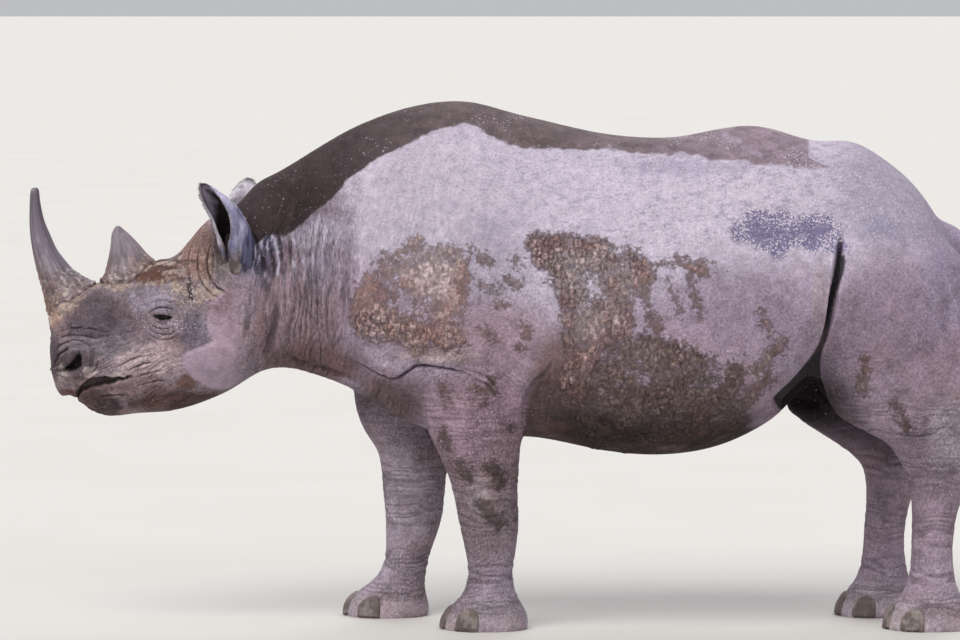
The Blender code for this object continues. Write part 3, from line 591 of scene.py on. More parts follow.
def inside(flat, outline):
    """Distance inside a closed outline, in metres, below 0 outside it."""
    line = smooth_route((*outline, outline[0]), steps=3)
    best, within = np.full(len(flat), 9.0), np.zeros(len(flat), bool)
    for a, b in zip(line, line[1:]):
        run = b - a
        t = np.clip((flat - a) @ run / (run @ run), 0, 1)
        away = flat - a - t[:, None] * run
        best = np.minimum(best, np.hypot(away[:, 0], away[:, 1]))
        if a[1] != b[1]:
            crosses = (flat[:, 1] > min(a[1], b[1])) & (flat[:, 1] <= max(a[1], b[1]))
            within ^= crosses & (flat[:, 0] < a[0] + (flat[:, 1] - a[1]) * run[0] / run[1])
    return np.where(within, best, -best)


# ---------------------------------------------------------------- flesh
def body_rings():
    top, under, width = curve(TOP_LINE), curve(UNDER_LINE), curve(HALF_WIDTH)
    level, square_top, square_under = curve(WIDE_LEVEL), curve(SQUARE_TOP), curve(SQUARE_UNDER)
    for x in np.linspace(TOP_LINE[0][0], TOP_LINE[-1][0], 170):
        ring = []
        for i in range(BODY_SIDES):
            angle = 2 * math.pi * i / BODY_SIDES
            upper = math.cos(angle) >= 0
            y, z = superellipse(angle, square_top(x) if upper else square_under(x))
            reach = top(x) - level(x) if upper else level(x) - under(x)
            ring.append((x, y * width(x), level(x) + z * reach))
        yield ring


def leg_shape(name):
    return FORELEG if name.startswith("fore") else HINDLEG


def leg_frame(name):
    """Functions of height for one leg: its middle in x and y, and half its length and width."""
    side, stance = SIDE[name.split("_")[1]], curve(LEG_STANCE)
    length, width = (curve([(row[0], row[k]) for row in leg_shape(name)]) for k in (1, 2))
    return curve(LEG_LINES[name]), lambda z: side * stance(z), length, width


def leg_rings(name):
    line, stance, length, width = leg_frame(name)
    for z in np.linspace(0.0, leg_shape(name)[-1][0], 100):
        ring = []
        for i in range(LEG_SIDES):
            y, x = superellipse(2 * math.pi * i / LEG_SIDES, LEG_SQUARE)
            ring.append((line(z) + x * length(z), stance(z) + y * width(z), z))
        yield ring


def tail_frame():
    """The tail's length, and functions of the place along it: its middle in x and z, and its radius."""
    place = np.r_[0, np.cumsum([math.dist(a[:2], b[:2]) for a, b in zip(TAIL, TAIL[1:])])]
    return place[-1], *(curve(list(zip(place, [row[k] for row in TAIL]))) for k in range(3))


def tail_rings(sides=18):
    whole, x, z, radius = tail_frame()
    for s in np.linspace(0, whole, 60):
        along = Vector((x(s + 0.005) - x(s - 0.005), 0, z(s + 0.005) - z(s - 0.005))).normalized()
        across = Vector((0, 1, 0))
        out = across.cross(along)
        middle, size = Vector((x(s), 0, z(s))), float(radius(s))
        turns = (2 * math.pi * i / sides for i in range(sides))
        yield [tuple(middle + (math.cos(a) * out + math.sin(a) * across) * size) for a in turns]


def junction_weights(points):
    """How strongly the skin is relaxed at each point: most where the legs meet the trunk."""
    weight = np.full(len(points), 0.25)
    for x, z, reach in ((-0.15, 0.7, 0.34), (1.15, 0.85, 0.34)):
        near = bell(np.hypot(points[:, 0] - x, points[:, 2] - z) / reach)
        weight = np.maximum(weight, 0.25 + near)
    weight[points[:, 0] < -0.75] = 0.12
    weight[(points[:, 0] > 1.4) & (np.abs(points[:, 1]) < 0.06)] = 0.03
    weight[points[:, 2] < 0.05] = 0.0
    return np.clip(weight, 0, 1)


def relaxed(mesh, rounds):
    points, edges = points_of(mesh), read(mesh.edges, "vertices", 2)
    weight = junction_weights(points)[:, None]
    for _ in range(rounds):
        points += 0.5 * weight * (mean_places(points, edges) - points)
    set_points(mesh, points)


def rough_flesh(voxel):
    """All the flesh as one closed mesh with its lumps."""
    lofts = [grid_mesh("body", list(body_rings())), grid_mesh("tail", list(tail_rings()))]
    lofts += [grid_mesh(name, list(leg_rings(name))) for name in LEG_LINES]
    mesh = with_modifiers(joined(lofts), ("REMESH", {"mode": "VOXEL", "voxel_size": voxel}))
    relaxed(mesh, round(40 * (0.012 / voxel) ** 2))
    points, normals = points_of(mesh), normals_of(mesh)
    rise = np.zeros(len(points))
    for row in LUMPS:
        for side in (-1, 1):
            middle = np.array(row[:3]) * (1, side, 1)
            rise += row[6] * bell(np.linalg.norm((points - middle) / row[3:6], axis=1))
    set_points(mesh, points + normals * rise[:, None])
    return mesh


def refined(mesh, chosen):
    """The mesh with the faces whose middles are chosen cut in four."""
    bm = bmesh.new()
    bm.from_mesh(mesh)
    edges = {edge for face in bm.faces if chosen(face.calc_center_median()) for edge in face.edges}
    bmesh.ops.subdivide_edges(bm, edges=list(edges), cuts=1, use_grid_fill=True)
    bm.to_mesh(mesh)
    bm.free()
    return mesh


def near_face(point):
    return point.x < -0.8 - 0.1 * (point.z - 1.0)


def near_eye(point):
    flat = math.hypot(point.x - EYE.x, point.z - EYE.z)
    return flat < 0.055 and abs(point.y) > 0.05


# ---------------------------------------------------------------- relief of the skin
class Relief:
    """The skin's points while folds and wrinkles are pressed into it. groove tells where lines are and how
    much dirt and painted shade they take; shadow tells where painted shadow goes.
    """

    def __init__(self, mesh):
        self.mesh = mesh
        self.points, self.normals = points_of(mesh), normals_of(mesh)
        self.edges = read(mesh.edges, "vertices", 2)
        self.rise, self.groove, self.shadow = (np.zeros(len(self.points)) for _ in range(3))

    @property
    def flat(self):
        return self.points[:, [0, 2]]

    def press(self):
        """Moves the points by the rise so far, and reads the new normals."""
        self.points = self.points + self.normals * self.rise[:, None]
        set_points(self.mesh, self.points)
        self.normals = normals_of(self.mesh)
        self.rise[:] = 0

    def curvature(self):
        """Above 0 on ridges, below 0 in hollows, about 1 on a sharp one."""
        mean = mean_places(self.points, self.edges, 3)
        return np.einsum("ij,ij->i", self.points - mean, self.normals) / SHARP_RIDGE

    def mark(self, near, amount):
        """Keeps the deepest groove at each point."""
        self.groove[near] = np.maximum(self.groove[near], amount)

    # Keeps the strongest painted shadow at each point.
    def darken(self, near, amount):
        self.shadow[near] = np.maximum(self.shadow[near], amount)

    def facing(self, sides):
        """How much each point faces the named sides, from 0 to 1."""
        weight = np.zeros(len(self.points))
        for name, side in SIDE.items():
            if sides in (name, "both"):
                weight = np.maximum(weight, np.clip(side * self.normals[:, 1] * 1.8 + 0.1, 0, 1))
        return weight

    def fold(self, route, width, depth, upper, lower, wander=0.3, dirt=1.0, sides="both"):
        reach = max(width, 1.6 * upper[0], 1.6 * lower[0])
        near, away, along = beside_route(self.flat, route, reach)
        at = self.points[near]
        away = away + wander * width * layers(at, 2.2 * width, 60, 2)
        uneven = 0.8 + 1.3 * wander * layers(at, 5.0 * width, 64, 2)
        fade = ramp(np.minimum(along, 1 - along), 0.0, 0.3) * self.facing(sides)[near] * uneven
        width = width * (0.55 + 0.45 * np.clip(fade, 0, 1))
        cut = bell(away / width)
        lift = np.zeros(len(near))
        for sign, (roll_width, height) in ((1, upper), (-1, lower)):
            beside = sign * away
            lift += height * bell((beside - 0.62 * roll_width) / roll_width) * (beside > -width)
        self.rise[near] += fade * (lift * (1 - cut) - depth * cut)
        # A groove is darkened by dirt and painted shade, the more the deeper and narrower it is.
        dirt_and_shade = dirt * min(1.0, (depth / width.max()) ** 2)
        self.mark(near, dirt_and_shade * fade * bell(away / (width * 0.65)))

    def wrinkle(self, seed, centre, reach, degrees, spacing, length, depth, width):
        place = (self.points - centre) / reach
        away = np.linalg.norm(place, axis=1)
        near = np.flatnonzero(away < 1)
        weight = bell(away[near] * 0.92) ** 0.6
        at = self.points[near]
        turn = math.radians(degrees)
        wander = 0.7 * spacing * layers(at, spacing * 5, seed + 50, 2)
        across = -math.sin(turn) * at[:, 0] + math.cos(turn) * at[:, 2] + wander
        along = math.cos(turn) * at[:, 0] + math.sin(turn) * at[:, 2]
        where = np.column_stack([across, along, at[:, 1]])
        ridge = noise(where, (spacing, length, length * 0.8), seed)
        fine = noise(where, (spacing * 0.55, length * 0.5, length * 0.5), seed + 9)
        cut = np.maximum(lines(ridge, width), 0.5 * lines(fine, width))
        strength = weight * (0.55 + 0.45 * noise(at, 0.09, seed + 20))
        self.rise[near] += strength * depth * (0.35 - cut)
        self.mark(near, strength * cut * min(1.0, depth / 0.003))

    def pebbles(self, weight, size, depth, seed):
        """Small raised cells of skin with lines between them."""
        near = np.flatnonzero(weight > 0.05)
        at = self.points[near]
        wander = np.column_stack([layers(at, 0.03, seed + k, 1) for k in (11, 12, 13)])
        _, border, _ = cells(at + 0.35 * np.mean(size) * wander, size, seed)
        cut = np.clip(1 - border / 0.22, 0, 1)
        self.rise[near] += weight[near] * depth * (0.3 - cut)
        self.mark(near, 0.55 * weight[near] * cut)


def leg_share(points, name):
    """1 on one leg, falling to 0 away from it and above its top."""
    x, y, length, width = leg_frame(name)
    z = points[:, 2]
    away = np.hypot((points[:, 0] - x(z)) / length(z), (points[:, 1] - y(z)) / width(z))
    top = 0.74 if name.startswith("fore") else 0.86
    return ramp(-away, -1.45, -1.15) * ramp(-z, -top - 0.1, -top + 0.02)


def press_folds(relief):
    for row in FOLDS:
        relief.fold(*row)
    for side, route in FLANK_GROOVE.items():
        relief.fold(route, *GROOVE_SHAPE, wander=0.0, sides=side)
        # Painted shadow deep in the flank's groove.
        near, away, along = beside_route(relief.flat, route, 0.03)
        width = 0.006 + 0.005 * along
        dark = ramp(-np.abs(away), -width - 0.004, -width + 0.003) * ramp(along, 0.02, 0.2)
        relief.darken(near, dark * relief.facing(side)[near])
    x, y, z = relief.points.T
    near = np.flatnonzero(boxed(relief.flat, FLANK_GAP, 0.03) & (np.abs(y) > 0.05))
    relief.rise[near] -= GAP_DEPTH * ramp(inside(relief.flat[near], FLANK_GAP), -0.004, 0.03)
    # Painted shadow over the fold and the groin.
    near = np.flatnonzero(boxed(relief.flat, GROIN, 0.03))
    relief.darken(near, ramp(inside(relief.flat[near], GROIN), -0.002, 0.004))
    # Painted shadow on the inner side of each thigh.
    inner = ramp(-np.sign(y) * relief.normals[:, 1], -0.1, 0.4) * ramp(x, 0.74, 0.8)
    inner *= ramp(z, 0.4, 0.62) * ramp(-z, -0.86, -0.76)
    relief.darken(slice(None), 0.85 * inner)
    relief.press()
    for row in HEAD_FOLDS:
        relief.fold(*row)
    x, _, z = relief.points.T
    near = np.flatnonzero((x < -0.76) & (z > 0.69) & (z < 1.06))
    plate = ramp(inside(relief.flat[near], CHEEK), -0.003, 0.014) * relief.facing("both")[near]
    relief.rise[near] += CHEEK_RISE * plate
    for seed, (_, centre, reach, *rest) in enumerate(WRINKLES):
        relief.wrinkle(100 + 7 * seed, np.array(centre), np.array(reach), *rest)
    relief.press()


def press_horn_collars(relief):
    """Skin rises round the base of each horn, rough and torn like the horn itself."""
    points = relief.points
    for stations, height in COLLARS:
        fx, fz, bx, bz, half = stations[1]
        turn = np.linspace(0, 2 * math.pi, 64, endpoint=False)[:, None]
        front, back = np.array((fx, 0.0, fz)), np.array((bx, 0.0, bz))
        ring = (front + back) / 2 + (front - back) / 2 * np.cos(turn) + np.array((0, half, 0)) * np.sin(turn)
        near = np.flatnonzero(np.linalg.norm(points - (front + back) / 2, axis=1) < 0.17)
        away = np.full(len(near), 9.0)
        for point in ring:
            away = np.minimum(away, np.linalg.norm(points[near] - point, axis=1))
        ahead = ramp(-points[near, 0], 1.385, 1.412) if stations is HORN_FRONT else 0.0
        torn = 0.75 + 0.55 * layers(points[near], 0.014, 1650, 3)
        relief.rise[near] += (height * torn + 0.02 * ahead) * bell(away / (0.04 + 0.024 * ahead))


def press_legs(relief):
    for seed, name in enumerate(LEG_LINES):
        share = leg_share(relief.points, name)
        for k, (kind, height, reach, spacing, depth) in enumerate(LEG_WRINKLES):
            if not name.startswith(kind):
                continue
            weight = share * bell((relief.points[:, 2] - height) / reach)
            near = np.flatnonzero(weight > 0.02)
            at = relief.points[near] + 0.0
            at[:, 2] += 0.6 * spacing * layers(at, 0.06, 300 + seed, 2)
            ridge = noise(at, (0.09, 0.09, spacing), 310 + seed * 20 + k)
            cut = lines(ridge, 0.42)
            relief.rise[near] += weight[near] * depth * (0.35 - cut)
            relief.mark(near, 0.6 * weight[near] * cut)


def press_mouth(relief):
    """The lips part along a line, and the line goes in."""
    near, away, along = beside_route(relief.flat, MOUTH_LINE, 0.05)
    side = np.clip(np.abs(relief.normals[near, 1]) * 1.6 + np.clip(-relief.normals[near, 0], 0, 1), 0, 1)
    opening = 0.003 + 0.01 * bell((along - 0.6) / 0.42)
    away = away + 0.004 * layers(relief.points[near], 0.018, 1660, 3)
    cut = ramp(-np.abs(away), -opening - 0.004, -opening + 0.001)
    fade = ramp(along, 0.0, 0.15) * side
    lips = 0.006 * bell((away - 0.016) / 0.018) + 0.005 * bell((away + 0.016) / 0.018)
    relief.rise[near] += fade * (lips * (1 - cut) - MOUTH_DEPTH * cut)
    relief.mark(near, fade * ramp(-np.abs(away), -opening - 0.004, -opening))


def press_nostrils(relief):
    """A comma-shaped hole in the side of the nose, with a thick rim."""
    flat = relief.flat - NOSTRIL
    turn = math.radians(NOSTRIL_TURN)
    u = math.cos(turn) * flat[:, 0] + math.sin(turn) * flat[:, 1]
    v = -math.sin(turn) * flat[:, 0] + math.cos(turn) * flat[:, 1]
    v = v - 9.0 * u**2
    oval = np.hypot(u / (0.04 + 0.1 * u), v / (0.0165 + 0.2 * u))
    side = relief.facing("both") * (np.hypot(*flat.T) < 0.08)
    hole = ramp(-oval, -1.15, -0.8) * side
    rim = np.clip(1 - ((oval - 1.75) / 0.75) ** 2, 0, 1) ** 2 * side
    relief.rise += NOSTRIL_RIM * rim * (1 - hole) - NOSTRIL_DEPTH * hole
    relief.mark(slice(None), hole)
    return hole


def press_eyelids(relief):
    """Lids over the eyeballs: an almond opening with a heavy upper edge."""
    points = relief.points
    wet = np.zeros(len(points))
    for side in SIDE.values():
        u, v = points[:, 0] - EYE.x, points[:, 2] - EYE.z
        v = v + 0.1 * u
        out = side * points[:, 1] - EYE.y
        near = np.flatnonzero((np.hypot(u, v) < 0.06) & (out > -0.03))
        u, v, out = u[near], v[near], out[near]
        upper, lower = 0.005 * bell(u / 0.034) ** 0.7, 0.0098 * bell(u / 0.031) ** 0.7
        gap = np.where(v > 0, v - upper, -v - lower)
        gap = np.where(np.abs(u) > 0.027, np.maximum(gap, np.abs(u) - 0.027), gap)
        flat_distance = np.hypot(u, v)
        lid = np.sqrt(np.clip((EYE_RADIUS + 0.0036) ** 2 - flat_distance**2, 0, None))
        share = ramp(-flat_distance, -0.042, -0.018)
        over = np.maximum(out, lid * share + out * (1 - share))
        over += 0.0045 * bell((v - 0.013) / 0.01) * bell(u / 0.036)
        over += 0.0016 * bell((v + 0.0145) / 0.006) * bell(u / 0.032)
        ball = np.sqrt(np.clip(EYE_RADIUS**2 - flat_distance**2, 0, None))
        under = np.minimum(over, ball - 0.006)
        opened = ramp(-gap, -0.0004, 0.0012)
        points[near, 1] = side * (EYE.y + over * (1 - opened) + under * opened)
        wet[near] = np.maximum(wet[near], ramp(-gap, -0.005, 0.0))
    relief.points = points
    set_points(relief.mesh, points)
    relief.normals = normals_of(relief.mesh)
    return wet


# ---------------------------------------------------------------- markings
def linear(red, green, blue):
    """A colour on a screen's 0 to 255 scale as the linear shares that shaders use."""
    shares = np.array((red, green, blue)) / 255.0
    return np.where(shares <= 0.04045, shares / 12.92, ((shares + 0.055) / 1.055) ** 2.4)


# Where dried mud lies on the left flank, as outlines in the side view. On the right flank it lies a little
# further forward and higher.
SHOULDER_MUD = mm(
    -472, 1052, -421, 1121, -322, 1187, -277, 1223, -240, 1187, -188, 1181, -143, 1157, -120, 1097,
    -143, 1037, -155, 948, -135, 880, -200, 852, -300, 842, -375, 846, -450, 880, -474, 950)
RIB_MUD = mm(
    42, 1195, 96, 1210, 260, 1204, 379, 1159, 415, 1100, 379, 1000, 345, 900, 270, 860, 250, 760,
    200, 700, 150, 740, 150, 860, 125, 980, 66, 1100)
ARM_MUD = mm(
    340, 1170, 440, 1130, 500, 1140, 570, 1125, 635, 1106, 580, 1075, 500, 1098, 420, 1098, 350, 1080)
BELLY_MUD = mm(
    240, 850, 330, 905, 430, 900, 520, 872, 620, 862, 690, 840, 680, 760, 700, 640, 540, 560, 340, 530,
    180, 570, 150, 680, 190, 760)
# Drips and smears of mud: where each starts, where it ends and half its width.
SMEARS = mm(
    372, 1060, 434, 929, 16, 434, 929, 425, 885, 12, 464, 1075, 503, 957, 10, 525, 1085, 565, 957, 8,
    770, 905, 740, 985, 16, 725, 800, 800, 870, 26, 700, 700, 760, 770, 24, 1060, 840, 1050, 740, 20,
    -215, 745, -195, 690, 13, -110, 738, -60, 728, 16, -62, 760, -85, 690, 15, -210, 600, -190, 555, 20,
    -160, 505, -130, 465, 22, -62, 500, -35, 450, 22, -8, 628, -4, 615, 10, -95, 385, -40, 330, 26,
    -130, 1175, -125, 1160, 10, -85, 1130, -70, 1110, 18, -100, 1060, -50, 1040, 20,
    10, 1130, 20, 1110, 16, -20, 1070, 15, 1050, 17, -50, 1000, -30, 990, 14, -85, 915, -65, 900, 16,
    30, 940, 40, 905, 16, 15, 870, 25, 860, 12, 1150, 700, 1190, 620, 22, size=5)
STRIPE_EDGE = mm(
    -1020, 1100, -860, 1110, -800, 1150, -729, 1190, -690, 1190, -642, 1223, -584, 1270, -527, 1330,
    -460, 1388, -400, 1431, -315, 1470, -258, 1497, -190, 1517, -122, 1522, -71, 1494, 14, 1468,
    92, 1458, 264, 1452, 418, 1443, 554, 1434, 690, 1424, 805, 1411, 885, 1404, 960, 1402, 1100, 1402)
STRIPE_END = mm(1398, 965, 1410, 938, 1426, 905, 1450, 902, 1480, 907, 1560, 915)
# Broad tints of the skin, laid over each other in turn: colour, centre in the side view, reach, strength,
# how soft its edge is and how ragged.
BODY_TINTS = (
    ((190, 180, 197), (0.35, 1.33), (1.05, 0.4), 1.0, 0.5, 0.1),  # pale dust along the upper flank
    ((188, 178, 194), (-0.28, 1.3), (0.33, 0.3), 0.8, 0.6, 0.1),  # shoulder
    ((158, 149, 166), (1.18, 1.33), (0.3, 0.26), 0.9, 0.6, 0.1),  # rump
    ((160, 151, 174), (0.52, 1.4), (0.24, 0.034), 0.7, 0.8, 0.5),  # along the stripe
    ((148, 132, 152), (0.7, 0.98), (0.42, 0.2), 0.9, 0.9, 0.1),  # rear flank
    ((162, 152, 170), (-0.04, 1.12), (0.17, 0.2), 0.7, 0.9, 0.2),  # between the mud patches
    ((158, 136, 149), (-0.06, 0.89), (0.23, 0.15), 0.9, 0.7, 0.1),  # upper arm
    ((136, 119, 136), (1.18, 0.88), (0.33, 0.33), 0.9, 0.8, 0.12),  # thigh
    ((140, 127, 150), (1.33, 1.08), (0.15, 0.3), 0.8, 0.8, 0.12),  # buttock
    ((160, 146, 150), (0.92, 1.0), (0.036, 0.18), 0.6, 0.8, 0.05),  # edge of the flank
    ((100, 84, 86), (0.13, 0.78), (0.13, 0.19), 0.9, 0.8, 0.12),  # painted shade behind the elbow
    ((122, 100, 104), (0.42, 0.7), (0.56, 0.11), 0.8, 0.9, 0.2),  # lower flank
    ((44, 32, 30), (0.4, 0.52), (0.64, 0.185), 1.0, 0.5, 0.2),  # belly: dark mud, and painted shade under it
    ((52, 40, 38), (0.0, 0.56), (0.26, 0.1), 0.9, 0.6, 0.16),  # breastbone
    ((36, 28, 30), (0.95, 0.67), (0.17, 0.13), 0.9, 0.8, 0.1),  # painted shadow between the thighs
    ((133, 114, 123), (-0.64, 1.02), (0.185, 0.42), 1.0, 0.45, 0.14),  # neck
    ((150, 138, 156), (-0.56, 1.18), (0.1, 0.19), 0.8, 0.8, 0.2),  # upper neck
    ((182, 174, 190), (-0.6, 1.205), (0.11, 0.055), 0.8, 0.8, 0.4),  # under the stripe
    ((70, 70, 92), (-0.765, 1.15), (0.085, 0.12), 0.95, 0.7, 0.15),  # behind the ear
    ((102, 80, 80), (-0.6, 0.8), (0.21, 0.085), 0.9, 0.8, 0.14),  # throat
    ((96, 77, 78), (-0.37, 0.68), (0.16, 0.12), 0.9, 0.8, 0.14),  # breast
    ((176, 157, 160), (-0.23, 0.838), (0.17, 0.03), 0.8, 0.8, 0.16),  # roll over the foreleg
)
HEAD_TINTS = (
    ((134, 120, 128), (-1.12, 0.9), (0.38, 0.33), 1.0, 0.2, 0.04),  # face
    ((182, 162, 168), (-1.11, 0.815), (0.14, 0.075), 0.9, 0.5, 0.25),  # wrinkled skin under the face
    ((132, 110, 116), (-1.15, 0.735), (0.11, 0.05), 0.8, 0.6, 0.25),  # lower lip and its corner
    ((94, 83, 91), (-1.27, 0.94), (0.125, 0.085), 0.95, 0.4, 0.2),  # dark side of the snout
    ((112, 101, 112), (-1.14, 0.895), (0.07, 0.055), 0.8, 0.5, 0.4),  # dark speckle before the eye
    ((134, 124, 134), (-1.25, 0.85), (0.12, 0.036), 0.7, 0.6, 0.4),  # wrinkles below it
    ((152, 141, 157), (-1.09, 0.997), (0.095, 0.044), 0.95, 0.45, 0.2),  # brow
    ((106, 98, 114), (-0.965, 0.895), (0.058, 0.075), 0.8, 0.6, 0.35),  # temple
    ((132, 118, 130), (-1.06, 0.91), (0.06, 0.03), 0.8, 0.6, 0.25),  # under the eye
    ((126, 84, 70), (-0.748, 0.925), (0.036, 0.1), 0.9, 0.8, 0.35),  # behind the jaw
    ((78, 56, 52), (-1.0, 0.678), (0.21, 0.05), 0.95, 0.6, 0.25),  # underside of the jaw
    ((108, 78, 66), (-0.993, 0.747), (0.034, 0.03), 0.9, 0.6, 0.35),  # smear on the jaw
    ((99, 71, 62), (-1.12, 1.082), (0.15, 0.044), 1.0, 0.35, 0.3),  # forehead
    ((142, 113, 106), (-0.955, 1.15), (0.085, 0.125), 0.9, 0.5, 0.25),  # before the ear
    ((122, 114, 112), (-0.885, 1.14), (0.036, 0.09), 0.8, 0.6, 0.2),  # root of the ear
    ((160, 122, 96), (-1.41, 0.94), (0.04, 0.04), 0.9, 0.7, 0.3),  # front of the horn's base
    ((72, 61, 66), (-1.33, 0.8), (0.075, 0.06), 0.8, 0.6, 0.3),  # round the nostril
    ((158, 144, 143), (-1.374, 0.766), (0.022, 0.04), 0.95, 0.4, 0.3),  # its pale front rim
    ((194, 178, 178), (-1.288, 0.774), (0.026, 0.022), 0.95, 0.4, 0.4),  # its pale rear rim
    ((90, 77, 85), (-1.4, 0.82), (0.03, 0.09), 0.8, 0.7, 0.25),  # front of the nose
    ((164, 152, 150), (-1.205, 0.762), (0.04, 0.014), 0.8, 0.6, 0.3),  # upper lip
    ((60, 46, 48), (-1.262, 0.678), (0.1, 0.058), 0.9, 0.5, 0.45),  # chin
    ((74, 42, 40), (-1.356, 0.708), (0.036, 0.016), 0.9, 0.7, 0.2),  # tip of the lip
)
# The pale band that runs up under the front horn and along the forehead's edge: the same rows.
PALE_BAND = mm(
    -1408, 930, -1275, 1046, 20, -1275, 1046, -1190, 1038, 14, -1190, 1038, -1050, 1046, 8,
    -1015, 1034, -900, 1010, 20, size=5)
LEG_TINTS = {
    "foreleg_left": (((167, 142, 157), (-0.1, 0.64), (0.26, 0.25), 1.0, 0.7, 0.1),
                     ((142, 127, 134), (-0.075, 0.33), (0.2, 0.2), 0.9, 0.8, 0.2),
                     ((170, 157, 165), (-0.105, 0.42), (0.045, 0.07), 0.7, 0.8, 0.2)),
    "foreleg_right": (((167, 154, 167), (-0.31, 0.4), (0.26, 0.42), 1.0, 0.7, 0.08),
                      # painted shade on the upper inner side of the far foreleg
                      ((127, 112, 123), (-0.24, 0.56), (0.09, 0.15), 0.7, 0.8, 0.16)),
    "hindleg_left": (((153, 135, 149), (1.23, 0.5), (0.3, 0.42), 1.0, 0.7, 0.12),
                     ((182, 172, 182), (1.33, 0.62), (0.1, 0.16), 0.7, 0.8, 0.16)),
    "hindleg_right": (((148, 131, 146), (1.13, 0.45), (0.3, 0.42), 1.0, 0.7, 0.12),
                      # painted shadow on the upper part of the far thigh
                      ((44, 35, 37), (1.0, 0.73), (0.18, 0.15), 0.8, 0.8, 0.12)),
}
# Colours of the markings that the class Coat draws, painted shade and shadow among them, each on a screen's 0
# to 255 scale.
MARKING = {
    "feet": (158, 148, 148), "sole": (110, 98, 92), "stripe": (98, 84, 86), "stripe rear": (136, 119, 130),
    "stripe ahead": (52, 40, 40), "streak": (170, 154, 172), "bare hip": (98, 93, 127),
    "hollow": (128, 126, 152), "scratch": (146, 138, 160), "peeling": (188, 166, 150),
    "flakes": (190, 172, 168), "cracks": (58, 38, 32), "pale band": (172, 152, 142), "crack": (26, 16, 20),
    "ear fold": (180, 173, 192), "cheek": (164, 146, 161), "upper cheek": (120, 97, 105),
    "painted shade behind arm": (82, 65, 66), "grime": (112, 92, 98), "rose": (158, 118, 112), "hole": (20, 15, 16),
    "wet": (26, 20, 20),
}
STRIPE_STREAKS = (((0.645, 1.494), (0.69, 1.478)), ((0.689, 1.468), (0.751, 1.434)))
BROW_CRACK = ((-0.982, 1.042), (-0.976, 1.004))
# Patches of mud: outline, kind of clods, thickness, and how deep inside the outline the mud is fully laid.
MUD = (
    (SHOULDER_MUD, "shoulder", 0.0044, 0.026), (RIB_MUD, "rib", 0.0058, 0.022),
    (ARM_MUD, "shoulder", 0.0032, 0.02), (BELLY_MUD, "belly", 0.0046, 0.026),
)
CLOD = {"shoulder": (0.022, 0.022, 0.024), "rib": (0.019, 0.019, 0.03), "belly": (0.026, 0.026, 0.028)}
MUD_SHIFT = (0.055, -0.03)  # from a place on the right flank to its place in the outlines
MUD_REACH = 0.06  # how far outside an outline single crumbs can lie
OUTSIDE = -1.0  # the field where no outline is near
BARE_SKIN = (163, 147, 165)
COLOUR_RANGE = (0.003, 0.9)  # the darkest and lightest share of light that a surface gives back
CRUST = {"red": linear(151, 119, 114), "beige": linear(180, 161, 161), "olive": linear(108, 92, 86)}
CLODS_PER_METRE = 84.0  # cracks between the mud's crumbs in the material


class Mud:
    """Dried mud on the flanks: how deep inside a patch each point lies, its clods and their colour."""

    def __init__(self, relief):
        plain = np.zeros(len(relief.points))
        self.field, self.clod = plain - 0.05, plain + 0.5
        self.amount, self.red, self.olive, self.crackle = (plain.copy() for _ in range(4))
        self.relief = relief

    def lay(self, field, size, thickness, cap, rag, seed, red, olive, crackle):
        """Mud where the field is above 0, in clods of a size. A low cap against the rag leaves holes."""
        relief = self.relief
        near = np.flatnonzero(field > -MUD_REACH)
        at = relief.points[near]
        ragged = np.minimum(field[near], cap) + rag * layers(at, 0.075, seed, 5, 0.66)
        ragged = np.minimum(ragged, 0.034)
        amount = ramp(ragged, -0.01, 0.022)
        warped = at + 0.006 * np.column_stack([layers(at, 0.05, seed + k, 2) for k in (21, 22, 23)])
        _, border, value = cells(warped, size, seed + 30)
        crack = np.clip(1 - border / 0.28, 0, 1)
        worn = ramp(layers(at, 0.06, seed + 40, 2), 0.25, 0.6)
        deep = np.clip(crackle + 0.4 * layers(at, 0.1, seed + 44, 2), 0.1, 1)
        height = thickness * (0.55 + 0.75 * value * deep) * (1 - 0.8 * worn)
        lumpy = 0.45 * layers(at, 0.02, seed + 47, 3, 0.65)
        relief.rise[near] += amount * height * (1 - 0.9 * crack * deep + lumpy)
        stronger = ragged > self.field[near]
        self.field[near] = np.maximum(self.field[near], ragged)
        self.amount[near] = np.maximum(self.amount[near], amount)
        for kept, new in ((self.clod, value), (self.red, red), (self.olive, olive), (self.crackle, deep)):
            kept[near] = np.where(stronger, new, kept[near])


def on_side(relief, name):
    """Which points are on one side of the animal, and their places in the outlines of the mud."""
    away = SIDE[name] * relief.points[:, 1]
    near = np.flatnonzero((away > 0.06) & (relief.points[:, 2] > 0.25))
    shift = (0.0, 0.0) if name == "left" else MUD_SHIFT
    return near, relief.flat[near] + shift


